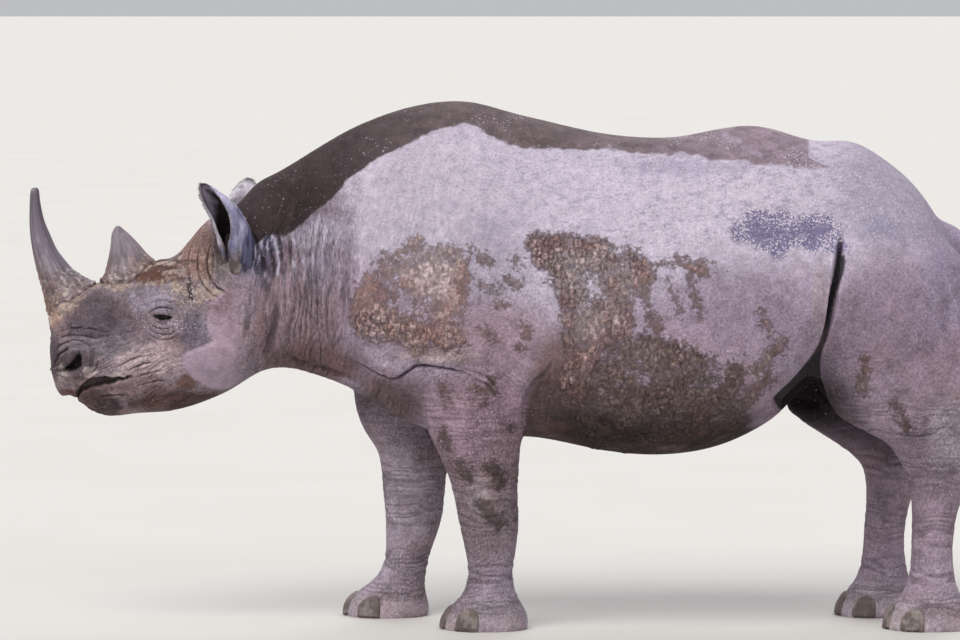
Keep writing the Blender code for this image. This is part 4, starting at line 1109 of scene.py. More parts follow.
def lay_mud(relief):
    """The patches of MUD and then the smears, on both sides."""
    mud = Mud(relief)
    x, _, z = relief.points.T
    for name in SIDE:
        near, flat = on_side(relief, name)
        legs = sum(leg_share(relief.points[near], leg) for leg in LEG_LINES if leg.endswith(name))
        for k, (outline, kind, thickness, cap) in enumerate(MUD):
            field = np.full(len(x), OUTSIDE)
            close = boxed(flat, outline, MUD_REACH)
            field[near[close]] = inside(flat[close], outline) - 0.05 * legs[close] * (kind != "shoulder")
            red, olive = ramp(-field, -0.07, -0.01), np.zeros(len(x))
            if kind == "shoulder":
                red = 0.6 * red + 0.6 * ramp(-x, 0.29, 0.37) * ramp(z, 0.89, 0.96)
            if kind == "belly":
                red, olive = olive, olive + 1.0
            active = field > -MUD_REACH
            crackle = {
                "shoulder": 0.15 + 0.75 * ramp(-z[active], -1.02, -0.92),
                "rib": 0.55 + 0.35 * ramp(z[active], 0.85, 1.0),
                "belly": np.full(active.sum(), 0.8),
            }[kind]
            colours = red[active], olive[active]
            mud.lay(field, CLOD[kind], thickness, cap, 0.04, 400 + 60 * k, *colours, crackle)
        field = np.full(len(x), OUTSIDE)
        for *ends, width in SMEARS:
            field[near] = np.maximum(field[near], width - beside(flat, ends[:2], ends[2:]))
        plain = np.zeros((field > -MUD_REACH).sum())
        mud.lay(field, CLOD["shoulder"], 0.0022, 0.03, 0.014, 700, plain + 0.5, plain + 0.2, plain + 0.4)
    return mud


def stripe_amount(points):
    """Dark skin without dust along the back."""
    above = points[:, 2] - curve(STRIPE_EDGE)(points[:, 0])
    above += 0.012 * layers_where(ramp(above, -0.06, -0.05), points, 0.05, 801, 4, 0.6)
    behind = points[:, 0] - curve(STRIPE_END)(points[:, 2])
    return ramp(above, -0.004, 0.005) * ramp(points[:, 0], -0.93, -0.865) * ramp(-behind, -0.004, 0.008)


def beside(flat, start, end):
    """Distance of 2-D points from a straight step."""
    a, b = np.array(start), np.array(end)
    t = np.clip((flat - a) @ (b - a) / ((b - a) @ (b - a)), 0, 1)
    return np.linalg.norm(flat - a - t[:, None] * (b - a), axis=1)


def blend(first, second, share):
    """Colours between two, or two rows of them: the first where the share is 0, the second where it is 1."""
    return first + (second - first) * share[:, None]


def laid_over(colour, tint, amount):
    return blend(colour, linear(*tint), amount)


class Coat:
    """The skin's colour at each point, while markings are laid over it in turn."""

    def __init__(self, relief, mud, wet, hole):
        self.relief, self.mud, self.wet = relief, mud, wet
        self.points, self.flat = relief.points, relief.flat
        self.x, _, self.z = relief.points.T
        self.colour = np.tile(linear(*BARE_SKIN), (len(self.points), 1))
        self.head = ramp(-self.x - 0.12 * (self.z - 0.9), 0.735, 0.79)
        self.stripe = stripe_amount(self.points)
        self.rearwards, self.ahead = ramp(self.x, 0.1, 0.85), ramp(-self.x, 0.1, 0.55)
        # Where painted shadow goes: inside the nostrils and wherever the relief's shadow lies.
        self.dark = np.maximum(ramp(hole, 0.2, 0.8), 0.97 * relief.shadow)

    def lay(self, tint, amount, near=slice(None)):
        self.colour[near] = laid_over(self.colour[near], tint, amount)

    def shade(self, amount):
        """Lightens the colour by a share, or darkens it where the share is below 0."""
        self.colour = self.colour * (1 + amount)[:, None]

    def away(self, centre, reach):
        """Distance from a centre in the side view, in shares of a reach along each axis."""
        return np.hypot((self.x - centre[0]) / reach[0], (self.z - centre[1]) / reach[1])

    def noise(self, where, size, seed, count=3, gain=0.5):
        return layers_where(where, self.points, size, seed, count, gain)

    def tint(self, rows, where, seed):
        for k, (tint, centre, reach, strength, soft, ragged) in enumerate(rows):
            away = self.away(centre, reach)
            near = np.flatnonzero((away < 1.6) & (where > 0))
            if len(near):
                field = 1 - away[near] + ragged * layers(self.points[near], 0.6 * min(reach), seed + 3 * k, 4)
                self.lay(tint, strength * ramp(field, -0.15 * soft, soft * 0.85) * where[near], near)

    def tint_all(self):
        self.tint(BODY_TINTS, np.ones(len(self.points)), 820)
        for k, name in enumerate(LEG_LINES):
            self.tint(LEG_TINTS[name], leg_share(self.points, name), 900 + 30 * k)
        self.tint(HEAD_TINTS, self.head, 1000)
        feet = ramp(-self.z, -0.16, -0.03)
        self.lay(MARKING["feet"], 0.75 * feet * (0.7 + 0.3 * self.noise(feet, 0.05, 1100, 2)))

    def draw_stripe(self):
        """Brown skin along the back, darkest ahead, with slanting pale streaks near its rear end."""
        brown = blend(linear(*MARKING["stripe"]), linear(*MARKING["stripe rear"]), self.rearwards)
        brown = blend(brown, linear(*MARKING["stripe ahead"]), self.ahead)
        brown = brown * (1 + 0.34 * self.noise(self.stripe, (0.04, 0.04, 0.02), 1110, 4, 0.65))[:, None]
        self.colour = blend(self.colour, brown, 0.96 * self.stripe)
        for start, end in STRIPE_STREAKS:
            away = beside(self.flat, start, end) + 0.006 * self.noise(self.stripe, 0.02, 1114)
            self.lay(MARKING["streak"], 0.55 * self.stripe * ramp(0.008 - away, -0.006, 0.006))

    def draw_hip(self):
        """A bare bluish place on the hip, under the dust, and the paler hollow behind it."""
        away = self.away((0.85, 1.208), (0.205, 0.08))
        ragged = self.noise(2 - away, 0.07, 1120, 4, 0.6)
        self.bare = ramp(1 - away + 0.45 * ragged, 0.0, 0.3) * (1 - self.stripe)
        self.lay(MARKING["bare hip"], 0.92 * self.bare)
        away = self.away((1.1, 1.22), (0.12, 0.05))
        self.lay(MARKING["hollow"], 0.6 * ramp(1 - away + 0.3 * self.noise(2 - away, 0.06, 1125), 0.0, 0.8))

    def dust(self):
        """The pale coat is scratched off in thin strokes; flecks of it are left on the bare places."""
        stripe, bare = self.stripe, self.bare
        self.pale = ramp(self.z, 1.0, 1.25) * (1 - stripe) * ramp(self.x, -0.5, -0.4)
        scratch = ramp(self.noise(self.pale, (0.024, 0.024, 0.011), 1130, 4, 0.6), 0.34, 0.48)
        rear = ramp(self.x, 0.0, 0.5)
        self.lay(MARKING["scratch"], 0.6 * self.pale * scratch * (0.35 + 0.65 * rear))
        cluster = ramp(self.noise(bare, 0.04, 1150), -0.75, 0.3)
        edge = 4 * bare * (1 - bare)
        fleck = bare * (0.28 + 0.46 * cluster) + 0.36 * edge * (1 - stripe)
        spots = stripe * (1 - 0.6 * self.ahead) * ramp(self.noise(stripe, 0.07, 1160, 2), 0.0, 0.6)
        fleck = np.maximum(fleck, (0.34 + 0.14 * self.rearwards) * spots)
        self.fleck = np.maximum(fleck, 0.35 * self.pale * rear * (1 - bare))

    def draw_forehead(self):
        """Peeling skin on the brow, flakes and cracks below the horns, a pale band and a dark crack."""
        head = self.head
        self.brow = bell(self.away((-0.975, 1.02), (0.12, 0.075))) * head
        top = bell(self.away((-1.06, 1.105), (0.22, 0.07))) * head
        for name, strength, where, size, seed, low, high in (
            ("peeling", 0.85, self.brow, (0.018, 0.018, 0.01), 1170, 0.02, 0.3),
            ("flakes", 0.7, top, (0.03, 0.03, 0.011), 1172, 0.18, 0.36),
            ("cracks", 0.75, top, (0.034, 0.034, 0.01), 1176, 0.22, 0.4),
        ):
            share = ramp(self.noise(where, size, seed, 4, 0.65), low, high)
            self.lay(MARKING[name], strength * where * share)
        self.torn = self.noise(head, 0.024, 1178, 4, 0.7)
        for *ends, width in PALE_BAND:
            away = beside(self.flat, ends[:2], ends[2:]) + 0.02 * self.torn
            self.lay(MARKING["pale band"], 0.85 * head * ramp(width - away, -0.003, 0.01))
        crack = beside(self.flat, *BROW_CRACK) + 0.006 * self.torn
        self.lay(MARKING["crack"], 0.95 * head * ramp(-crack, -0.01, -0.005))
        self.shade(0.2 * head * self.noise(head, 0.012, 1192, 3, 0.65))

    def draw_ear_folds(self):
        """Streaks of dust in the folds behind the ear."""
        behind = bell(self.away((-0.7, 1.14), (0.15, 0.13)))
        streak = ramp(self.noise(behind, (0.008, 0.02, 0.05), 1182, 4, 0.6), 0.1, 0.4) * (1 - self.stripe)
        self.lay(MARKING["ear fold"], 0.8 * np.clip(1.5 * behind, 0, 1) * streak)

    def draw_cheek(self):
        """The smooth cheek, pinker at its top, and scurf before it."""
        near = np.flatnonzero(self.head > 0)
        self.plate = np.zeros(len(self.points))
        self.plate[near] = ramp(inside(self.flat[near], CHEEK) + 0.004 * self.torn[near], -0.003, 0.006)
        self.plate *= 1 - 0.75 * ramp(self.x, -0.865, -0.8)
        self.lay(MARKING["cheek"], 0.92 * self.plate)
        self.upper = self.plate * ramp(self.z, 0.89, 0.97)
        self.lay(MARKING["upper cheek"], self.upper * np.clip(0.65 + 0.6 * self.torn, 0, 0.9))
        scurf = bell(self.away((-1.03, 0.93), (0.17, 0.11))) * self.head
        self.fleck = np.maximum(self.fleck, 0.45 * self.brow)
        self.fleck = np.maximum(self.fleck, 0.55 * scurf * ramp(self.noise(scurf, 0.05, 1165, 2), -0.4, 0.4))
        self.fleck = self.fleck * (1 - self.plate)

    def draw_elbow(self):
        """Painted shade on the belly behind the arm."""
        near, away, along = beside_route(self.flat, ELBOW, 0.17)
        behind = ramp(-away, 0.0, 0.012) * ramp(-np.abs(away), -0.16, -0.05) * ramp(along, 0.0, 0.25)
        self.lay(MARKING["painted shade behind arm"], 0.85 * behind * (1 - ramp(self.z[near], 0.8, 0.86)), near)

    def mottle(self):
        """Bare skin is mottled, grimy and rosy in places, with painted shade in its hollows and dust lighter
        on its ridges.
        """
        points, pale = self.points, self.pale
        self.neck = bell(self.away((-0.6, 1.06), (0.23, 0.4))) * (1 - 0.7 * self.stripe)
        mottle = 0.09 * layers(points, 0.16, 1180) + 0.13 * layers(points, 0.022, 1190, 3, 0.65)
        self.shade(mottle * (1 - 0.5 * pale))
        grimy = ramp(layers(points, (0.06, 0.06, 0.045), 1195, 4, 0.62), 0.1, 0.6)
        self.lay(MARKING["grime"], 0.34 * (grimy * (1 - pale) * (1 - self.stripe)))
        # Painted shade in hollows, dust lighter on ridges.
        self.shade(np.clip(self.relief.curvature(), -1.4, 1.2) * (0.22 + 0.16 * self.neck))
        rosy = ramp(layers(points, 0.11, 1200), 0.0, 0.6) * ramp(-self.z, -1.05, -0.85)
        self.lay(MARKING["rose"], 0.16 * rosy)

    def draw_grooves(self):
        """Grooves darker from dirt and painted shade, near-black painted shadow in the nostrils, the flank's
        groove and the groin, wet rims and the soles.
        """
        # Darker grooves: dirt and painted shade.
        self.shade(-0.66 * np.clip(self.relief.groove, 0, 1))
        # Near-black painted shadow in the nostrils, the flank's groove and the groin.
        self.lay(MARKING["hole"], 0.95 * self.dark)
        self.lay(MARKING["wet"], 0.88 * self.wet)
        sole = ramp(-self.relief.normals[:, 2], 0.9, 0.99) * ramp(-self.z, -0.01, 0.0)
        self.lay(MARKING["sole"], sole)

    def crust(self):
        """The mud's colour at each point, by its clods, with painted highlight on its ridges and painted
        shade in its hollows, darker under the belly, lighter on the shoulder.
        """
        mud, clod = self.mud, self.mud.clod
        share = 0.5 + 0.7 * (clod - 0.5) + 0.8 * self.noise(mud.amount, 0.09, 1210)
        crust = blend(CRUST["red"], CRUST["beige"], np.clip(share, 0, 1))
        crust = blend(crust, CRUST["red"], 0.65 * mud.red)
        crust = blend(crust, CRUST["olive"], 0.75 * mud.olive)
        for light in (
            0.86 + 0.28 * clod,
            # painted highlight on ridges, painted shade in hollows
            1 + 0.3 * np.clip(self.relief.curvature(), -1.2, 1.0),
            1 - 0.62 * ramp(-self.z, -0.82, -0.54),
            1 + 0.3 * ramp(-self.x, 0.04, 0.12),
        ):
            crust = crust * light[:, None]
        return crust

    def grit(self):
        """How gritty the skin looks: least on the dusted flank and the cheek, most on the neck and snout."""
        grit = 0.55 + 0.45 * self.neck + 0.15 * self.head - 0.4 * self.pale
        return (grit - 0.5 * self.plate * (1 - 0.6 * self.upper) - 0.25 * self.stripe) * (1 - self.dark)


def paint(relief, mud, wet, hole):
    """What the skin's material reads at each point: colours, dust, mud and how gritty it is."""
    coat = Coat(relief, mud, wet, hole)
    coat.tint_all()
    coat.draw_stripe()
    coat.draw_hip()
    coat.dust()
    coat.draw_forehead()
    coat.draw_ear_folds()
    coat.draw_cheek()
    coat.draw_elbow()
    coat.mottle()
    coat.draw_grooves()
    light = 1 - coat.dark
    return {
        "Skin_Colour": np.clip(coat.colour, *COLOUR_RANGE),
        "Mud_Colour": np.clip(coat.crust(), *COLOUR_RANGE),
        "Mud_Field": mud.field,
        "Crackle": mud.crackle,
        "Wet": wet,
        "Fleck": coat.fleck * light,
        "Chalk": coat.pale,
        "Neck": np.clip(1.3 * coat.neck, 0, 1),
        "Grit": np.clip(coat.grit(), 0, 1),
        "Pebble": pebble_weights(coat.points) * (1 - 0.8 * coat.pale) * light,
    }


# ---------------------------------------------------------------- the skin's unwrap
class Sheet:
    """An unwrap of the skin seen along six directions, part by part, with the views laid out in rows."""

    WIDTH = 6.6  # metres of skin across the map
    MARGIN = 0.03

    def __init__(self):
        self.corner = {}
        self.low = {}
        self.next = [0.0, 0.0, 0.0]  # where the next view goes, and how tall its row is

    @staticmethod
    def flat(points, direction):
        across, up = ((1, 2), (0, 2), (0, 1))[direction % 3]
        return points[:, [across, up]]

    def place(self, points, group, direction):
        """Map places of points of one part that face one way."""
        key = (group, direction)
        flat = self.flat(points, direction)
        if key not in self.corner:
            self.low[key] = flat.min(0)
            size = flat.max(0) - flat.min(0) + self.MARGIN
            x, y, height = self.next
            if x + size[0] > self.WIDTH:
                x, y, height = 0.0, y + height, 0.0
            self.corner[key] = np.array((x, y))
            self.next = [x + size[0], y, max(height, size[1])]
        return (flat - self.low[key] + self.corner[key]) / self.WIDTH


def directions_of(normals):
    """0 to 5 for the way that each normal faces most: X, Y, Z and then the opposite ways."""
    widest = np.argmax(np.abs(normals), axis=1)
    sign = np.take_along_axis(normals, widest[:, None], axis=1)[:, 0] < 0
    return widest + 3 * sign


def unwrap(mesh, groups, normals, sheet):
    """Gives the mesh its OFBake map. groups and normals are for each point."""
    corner = read(mesh.loops, "vertex_index")
    start, count = (read(mesh.polygons, field) for field in ("loop_start", "loop_total"))
    way = np.repeat(directions_of(np.add.reduceat(normals[corner], start, axis=0)), count)
    group = np.repeat(groups[corner[start]], count)
    places = np.zeros((len(corner), 2), np.float32)
    points = points_of(mesh)[corner]
    for g in np.unique(group):
        for d in range(6):
            chosen = np.flatnonzero((group == g) & (way == d))
            if len(chosen):
                places[chosen] = sheet.place(points[chosen], g, d)
    mesh.uv_layers.new(name="OFBake").uv.foreach_set("vector", places.ravel())


# ---------------------------------------------------------------- ears
EAR_STEPS, EAR_ARC = 110, 56  # rings along the ear, points round each side of its wall
EAR_GROUP = {"left": 20, "right": 21}  # the ears' parts of the unwrap
EAR_COLOUR = {
    "root front": (128, 114, 112), "root rear": (84, 84, 108), "tip": (44, 36, 38), "rim": (188, 180, 190),
    "left back": (108, 107, 140), "left dust": (184, 180, 204), "right back": (128, 121, 134),
    "right dust": (196, 190, 201), "painted shade inside": (18, 13, 14), "inside": (138, 129, 148),
}


def ear_surface(name):
    """Rings of the ear's cup, outside and then inside, and for each point its share of the length,
    its share of the way round and whether it is inside."""
    root, tip, opening = EARS[name]
    axis = (tip - root).normalized()
    front = (opening - opening.dot(axis) * axis).normalized()
    across = axis.cross(front)
    width, depth, gap, thick = (curve([(row[0], row[k]) for row in EAR_SHAPE]) for k in (1, 2, 3, 4))
    front_lobe = 0.026 if name == "left" else 0.006
    rings, facts = [], []
    shares = [k / (EAR_ARC - 1) for k in range(EAR_ARC)]
    for t in np.linspace(0.0, 1.0, EAR_STEPS + 1):
        bow = 0.022 * math.sin(math.pi * t)
        middle = root.lerp(tip, t) - front * bow
        half_gap = math.radians(gap(t))
        ring = []
        for within in (False, True):
            inward = thick(t) if within else 0.0
            a, b = max(width(t) - inward, 0.002), max(depth(t) - inward, 0.0015)
            for share in reversed(shares) if within else shares:
                g = half_gap + (2 * math.pi - 2 * half_gap) * share
                lobe = front_lobe * float(bell((t - 0.8) / 0.32)) * max(-math.sin(g), 0.0)
                ring.append(middle + front * b * math.cos(g) + across * (a * math.sin(g) - lobe))
                facts.append((t, share, within))
        rings.append([tuple(point) for point in ring])
    return rings, np.array(facts)


def make_ear(name, sheet):
    rings, facts = ear_surface(name)
    mesh = grid_mesh("ear_skin_" + name, rings)
    points, normals = points_of(mesh), normals_of(mesh)
    t, share, within = facts.T
    rim = 1 - np.minimum(share, 1 - share) * 2
    near_rim = ramp(rim, 0.86, 1.0) * ramp(t, 0.25, 0.45)
    wave = layers(points, (0.03, 0.03, 0.06), 1300, 3)
    fine = lines(noise(points, (0.014, 0.014, 0.08), 1310), 0.5)
    low = ramp(-t, -0.75, -0.15)
    rise = 0.0022 * wave * (1 - near_rim) - 0.0034 * low * fine * (1 - within)
    rise -= 0.001 * (1 - within) * lines(noise(points, 0.011, 1320), 0.5) * (1 - low)
    set_points(mesh, points + normals * rise[:, None])

    paints = {part: linear(*colour) for part, colour in EAR_COLOUR.items()}
    before = points[:, 0] < EARS[name][0].x
    root = np.where(before[:, None], paints["root front"], paints["root rear"])
    outer = blend(paints[name + " back"], paints[name + " dust"], ramp(t + 0.4 * wave, 0.35, 0.95))
    outer = blend(root, outer, ramp(t, 0.08, 0.34))
    ahead = share > 0.5 if name == "left" else share < 0.5
    # Painted shade deep inside the cup, lighter towards the rim, the open front and the tip.
    painted_light_in_cup = np.where(ahead, ramp(rim + 1.5 * t + 0.2 * wave, 1.45, 1.85), ramp(rim + 0.3 * t, 1.1, 1.25))
    painted_light_in_cup = np.maximum(painted_light_in_cup, ramp(t + 0.05 * wave, 0.8, 0.92))
    inner = blend(paints["painted shade inside"], paints["inside"], painted_light_in_cup)
    colour = np.where(within[:, None] > 0.5, inner, outer)
    pale = ramp(rim, 0.93, 0.99) * ramp(t, 0.2, 0.35) * ramp(-t, -0.97, -0.8)
    colour = laid_over(colour, EAR_COLOUR["rim"], 0.75 * pale)
    colour = laid_over(colour, EAR_COLOUR["tip"], ramp(t, 0.9, 0.99) * 0.8)
    # Painted shade in the fine grooves on the outside near the root.
    groove = low * fine * (1 - within)
    colour = colour * (1 - 0.65 * groove)[:, None] * (1 + 0.12 * layers(points, 0.012, 1330, 2))[:, None]
    colour = np.clip(colour, *COLOUR_RANGE)
    none = np.zeros(len(points))
    give_attributes(mesh, Skin_Colour=colour, Mud_Colour=colour, Mud_Field=none - 0.1, Crackle=none, Wet=none,
                    Fleck=none, Chalk=none, Neck=none + 0.5, Grit=0.4 * (1 - within), Pebble=none)
    unwrap(mesh, np.full(len(points), EAR_GROUP[name]), normals_of(mesh), sheet)
    return mesh


# ---------------------------------------------------------------- eyes, horns and hooves
HORNS = {"horn_front": (HORN_FRONT, 190, 1700), "horn_rear": (HORN_REAR, 110, 1760)}  # shape, rings, seed
HORN_SIDES = 110
HORN_RANGE = (0.004, 0.9)  # the darkest and lightest horn
HORN_COLOUR = {
    "front horn": (120, 108, 122), "rear horn": (138, 124, 134), "tip": (98, 88, 100),
    "worn": (146, 136, 148), "flakes": (138, 108, 92), "between flakes": (92, 70, 62),
    "crumbs": (190, 178, 172), "front edge": (124, 96, 84), "hoof": (102, 90, 88),
    "worn hoof": (150, 140, 136), "dirt": (66, 54, 50),
}
HOOF_CENTRE = 0.018  # height of the middle of a plate's dome


def make_eye(name):
    """An eyeball with a clear bulge in front of the iris; Iris holds the angle from its axis, in degrees."""
    side = SIDE[name]
    look = Vector((-0.3, side, 0.02)).normalized()
    bm = bmesh.new()
    bmesh.ops.create_uvsphere(bm, u_segments=64, v_segments=48, radius=EYE_RADIUS)
    mesh = mesh_from(bm, "eyeball_" + name)
    mesh.transform(look.to_track_quat("Z", "Y").to_matrix().to_4x4())
    points = points_of(mesh)
    angle = np.degrees(np.arccos(np.clip(points @ np.array(look) / EYE_RADIUS, -1, 1)))
    points *= (1 + 0.055 * bell(angle / 34.0))[:, None]
    set_points(mesh, points + (EYE.x, side * EYE.y, EYE.z))
    give_attributes(mesh, Iris=angle)
    mesh.shade_smooth()
    return mesh


def make_horn(name, stations, steps, seed):
    """A horn of packed fibres: grooved along its length, rough and flaking at its base."""
    share = np.linspace(0, 1, len(stations))
    keys = [curve(list(zip(share, column))) for column in zip(*stations)]
    rings, place = [], []
    for t in np.linspace(0, 1, steps):
        fx, fz, bx, bz, half = (float(key(t)) for key in keys)
        ring = []
        for i in range(HORN_SIDES):
            a = 2 * math.pi * i / HORN_SIDES
            along = (1 - math.cos(a)) / 2
            ring.append((fx + (bx - fx) * along, half * math.sin(a), fz + (bz - fz) * along))
            place.append((math.cos(a), math.sin(a), t))
        rings.append(ring)
    mesh = grid_mesh(name, rings)
    points, normals = points_of(mesh), normals_of(mesh)
    round_about = np.array(place)
    t = round_about[:, 2]
    thin = ramp(-t, -1.0, -0.8)
    fibre = layers(round_about, (0.09, 0.09, 0.55), seed, 3)
    strand = lines(noise(round_about, (0.13, 0.13, 0.5), seed + 5), 0.35)
    base = ramp(-t, -0.52, -0.16)
    flake = layers(points, (0.016, 0.016, 0.01), seed + 9, 4)
    steps_up = lines(noise(points, (0.05, 0.05, 0.014), seed + 14), 0.35)
    rise = 0.0011 * fibre * thin - 0.0013 * strand * thin * (0.4 + 0.6 * base)
    rise += base * (0.0038 * flake - 0.0022 * steps_up)
    set_points(mesh, points + normals * rise[:, None])

    rear = name.startswith("horn_rear")
    front = ramp(-round_about[:, 0] if rear else round_about[:, 0], -0.2, 0.9)
    colour = np.tile(linear(*HORN_COLOUR["rear horn" if rear else "front horn"]), (len(points), 1))
    colour = laid_over(colour, HORN_COLOUR["tip"], ramp(t, 0.45, 0.95) * (0.3 if rear else 0.8))
    worn = ramp(layers(points, (0.03, 0.03, 0.06), seed + 18, 3), 0.0, 0.5)
    colour = laid_over(colour, HORN_COLOUR["worn"], worn * 0.6)
    flaking = base * (0.35 + 0.65 * front) * ramp(flake, -0.6, 0.3)
    colour = laid_over(colour, HORN_COLOUR["flakes"], flaking)
    colour = laid_over(colour, HORN_COLOUR["between flakes"], base * 0.7 * ramp(-flake, 0.0, 0.4))
    crumbs = ramp(layers(points, 0.009, seed + 22, 2), 0.42, 0.6)
    colour = laid_over(colour, HORN_COLOUR["crumbs"], 0.8 * base * crumbs)
    ahead = ramp(round_about[:, 0], 0.55, 1.0)
    colour = laid_over(colour, HORN_COLOUR["front edge"], ahead * ramp(-t, -0.8, -0.3) * 0.45)
    colour = colour * (1 - 0.42 * strand * thin)[:, None] * (1 + 0.16 * fibre)[:, None]
    give_attributes(mesh, Horn_Colour=np.clip(colour, *HORN_RANGE))
    mesh.shade_smooth()
    return mesh


def make_hoof(leg_name, kind):
    """A horny plate that follows the front of the foot, domed, grooved along and worn at its lower edge."""
    degrees, half_width, half_height = HOOVES[kind]
    x, y, length, width = leg_frame(leg_name)
    side = SIDE[leg_name.split("_")[1]]
    middle = math.radians(degrees)
    low, rows, columns = HOOF_LIFT, 20, 30
    front, back = [], []
    for j in range(rows):
        v = j / (rows - 1)
        for i in range(columns):
            u = -1 + 2 * i / (columns - 1)
            top = HOOF_CENTRE + half_height * math.sqrt(max(1 - abs(u) ** 2.3, 0.0))
            z = low + (max(top, low + 0.004) - low) * v
            a, b = float(length(z)), float(width(z))
            turn = middle + u * half_width / (0.5 * (a + b))
            reach = 1 / math.hypot(math.cos(turn) / a, math.sin(turn) / b)
            out = np.array((-math.cos(turn), side * math.sin(turn), 0.0))
            at = np.array((float(x(z)), float(y(z)), z))
            edge = (1 - abs(u) ** 6) * (1 - max(v - 0.8, 0) ** 2 / 0.04) ** 0.5
            thick = HOOF_THICKNESS * (0.25 + 0.75 * edge)
            front.append(at + out * (reach + thick))
            back.append(at + out * (reach - 0.012))
    faces = []
    count = rows * columns
    for j in range(rows - 1):
        for i in range(columns - 1):
            a, b = j * columns + i, (j + 1) * columns + i
            faces.append((a, a + 1, b + 1, b))
            faces.append((count + a, count + b, count + b + 1, count + a + 1))
    outline = [*range(columns - 1), *(j * columns + columns - 1 for j in range(rows - 1)),
               *((rows - 1) * columns + i for i in range(columns - 1, 0, -1)),
               *(j * columns for j in range(rows - 1, 0, -1))]
    for a, b in zip(outline, outline[1:] + outline[:1]):
        faces.append((b, a, count + a, count + b))
    mesh = solid_mesh("plate", [tuple(p) for p in front + back], faces, merge=0.0001)
    mesh = with_modifiers(mesh, ONE_LEVEL)
    points, normals = points_of(mesh), normals_of(mesh)
    seed = 1500 + 10 * list(LEG_LINES).index(leg_name) + list(HOOVES).index(kind)
    groove = layers(points, (0.009, 0.009, 0.08), seed, 2)
    band = lines(noise(points, (0.2, 0.2, 0.012), seed + 3), 0.5)
    chip = ramp(layers(points, 0.012, seed + 5, 2), 0.2, 0.6) * ramp(-points[:, 2], -0.02, -0.004)
    rise = 0.0007 * groove - 0.0006 * band - 0.003 * chip
    points = points + normals * rise[:, None]
    points[:, 2] = np.maximum(points[:, 2], 0.001)
    set_points(mesh, points)
    colour = np.tile(linear(*HORN_COLOUR["hoof"]), (len(points), 1))
    worn = ramp(layers(points, 0.03, seed + 7, 3), -0.1, 0.5)
    colour = laid_over(colour, HORN_COLOUR["worn hoof"], worn * 0.7)
    low_edge = ramp(-points[:, 2], -0.012, -0.002)
    colour = laid_over(colour, HORN_COLOUR["dirt"], 0.7 * low_edge + 0.3 * band)
    give_attributes(mesh, Horn_Colour=np.clip(colour * (1 + 0.2 * groove)[:, None], *HORN_RANGE))
    mesh.shade_smooth()
    return mesh


# ---------------------------------------------------------------- hair
TAIL_HAIRS, EAR_HAIRS, LASHES = 620, 520, 90  # the last two on each side
TAIL_HAIR, EAR_HAIR, LASH = (0.0011, 0.5), (0.0006, 0.3), (0.00045, 0.8)  # radius at the root, and droop


def make_hairs(name, roots, ways, lengths, radius, droop, home, steps=4, sides=3):
    """Tapered hairs as one closed-tube mesh. home gives each root its place on the skin's unwrap."""
    rings, faces, places = [], [], []
    for k, (root, way, length) in enumerate(zip(roots, ways, lengths)):
        way = Vector(way).normalized()
        across = way.orthogonal().normalized()
        other = way.cross(across)
        first = len(rings)
        at = Vector(root)
        for s in range(steps + 1):
            t = s / steps
            thick = radius * (1 - 0.86 * t)
            for i in range(sides):
                a = 2 * math.pi * i / sides
                rings.append(at + across * thick * math.cos(a) + other * thick * math.sin(a))
            way = (way + Vector((0, 0, -droop / steps))).normalized()
            at = at + way * length / steps
        for s in range(steps):
            for i in range(sides):
                j = (i + 1) % sides
                a, b = first + s * sides, first + (s + 1) * sides
                faces.append((a + i, a + j, b + j, b + i))
                places += [(k, i, s), (k, i + 1, s), (k, i + 1, s + 1), (k, i, s + 1)]
        end = first + steps * sides
        faces.append(tuple(first + i for i in reversed(range(sides))))
        faces.append(tuple(end + i for i in range(sides)))
        places += [(k, i, 0) for i in reversed(range(sides))] + [(k, i, steps) for i in range(sides)]
    mesh = bpy.data.meshes.new(name)
    mesh.from_pydata([tuple(p) for p in rings], [], faces)
    places = np.array(places, float)
    patch = places[:, 1:] / (sides, steps) * 0.003
    uv = home[places[:, 0].astype(int)] + patch - 0.0015
    mesh.uv_layers.new(name="OFBake").uv.foreach_set("vector", uv.astype(np.float32).ravel())
    mesh.shade_smooth()
    return mesh


def tail_tuft(chance):
    """Stiff bristles in two rows along the last third of the tail, and a brush at its end."""
    whole, x, z, radius = tail_frame()
    roots, ways, lengths, normals = [], [], [], []
    for _ in range(TAIL_HAIRS):
        share = chance.random() ** 0.6
        s = whole * (0.66 + 0.335 * share)
        row = 1 if chance.random() < 0.5 else -1
        angle = chance.normal(0.0, 0.42) + (0 if row > 0 else math.pi)
        out = np.array((math.cos(angle), math.sin(angle), 0.0))
        if s > whole * 0.985:
            out = np.array((chance.normal(0, 0.3), chance.normal(0, 0.3), -0.2))
        root = np.array((x(s), 0.0, z(s))) + out * radius(s) * 0.7
        way = out * (0.3 + 0.2 * chance.random()) + np.array((0, 0, -1.0))
        way += chance.normal(0, 0.1, 3)
        roots.append(tuple(root))
        ways.append(tuple(way))
        normals.append(tuple(out))
        lengths.append((0.05 + 0.065 * share) * chance.uniform(0.7, 1.1))
    return roots, ways, lengths, np.array(normals)


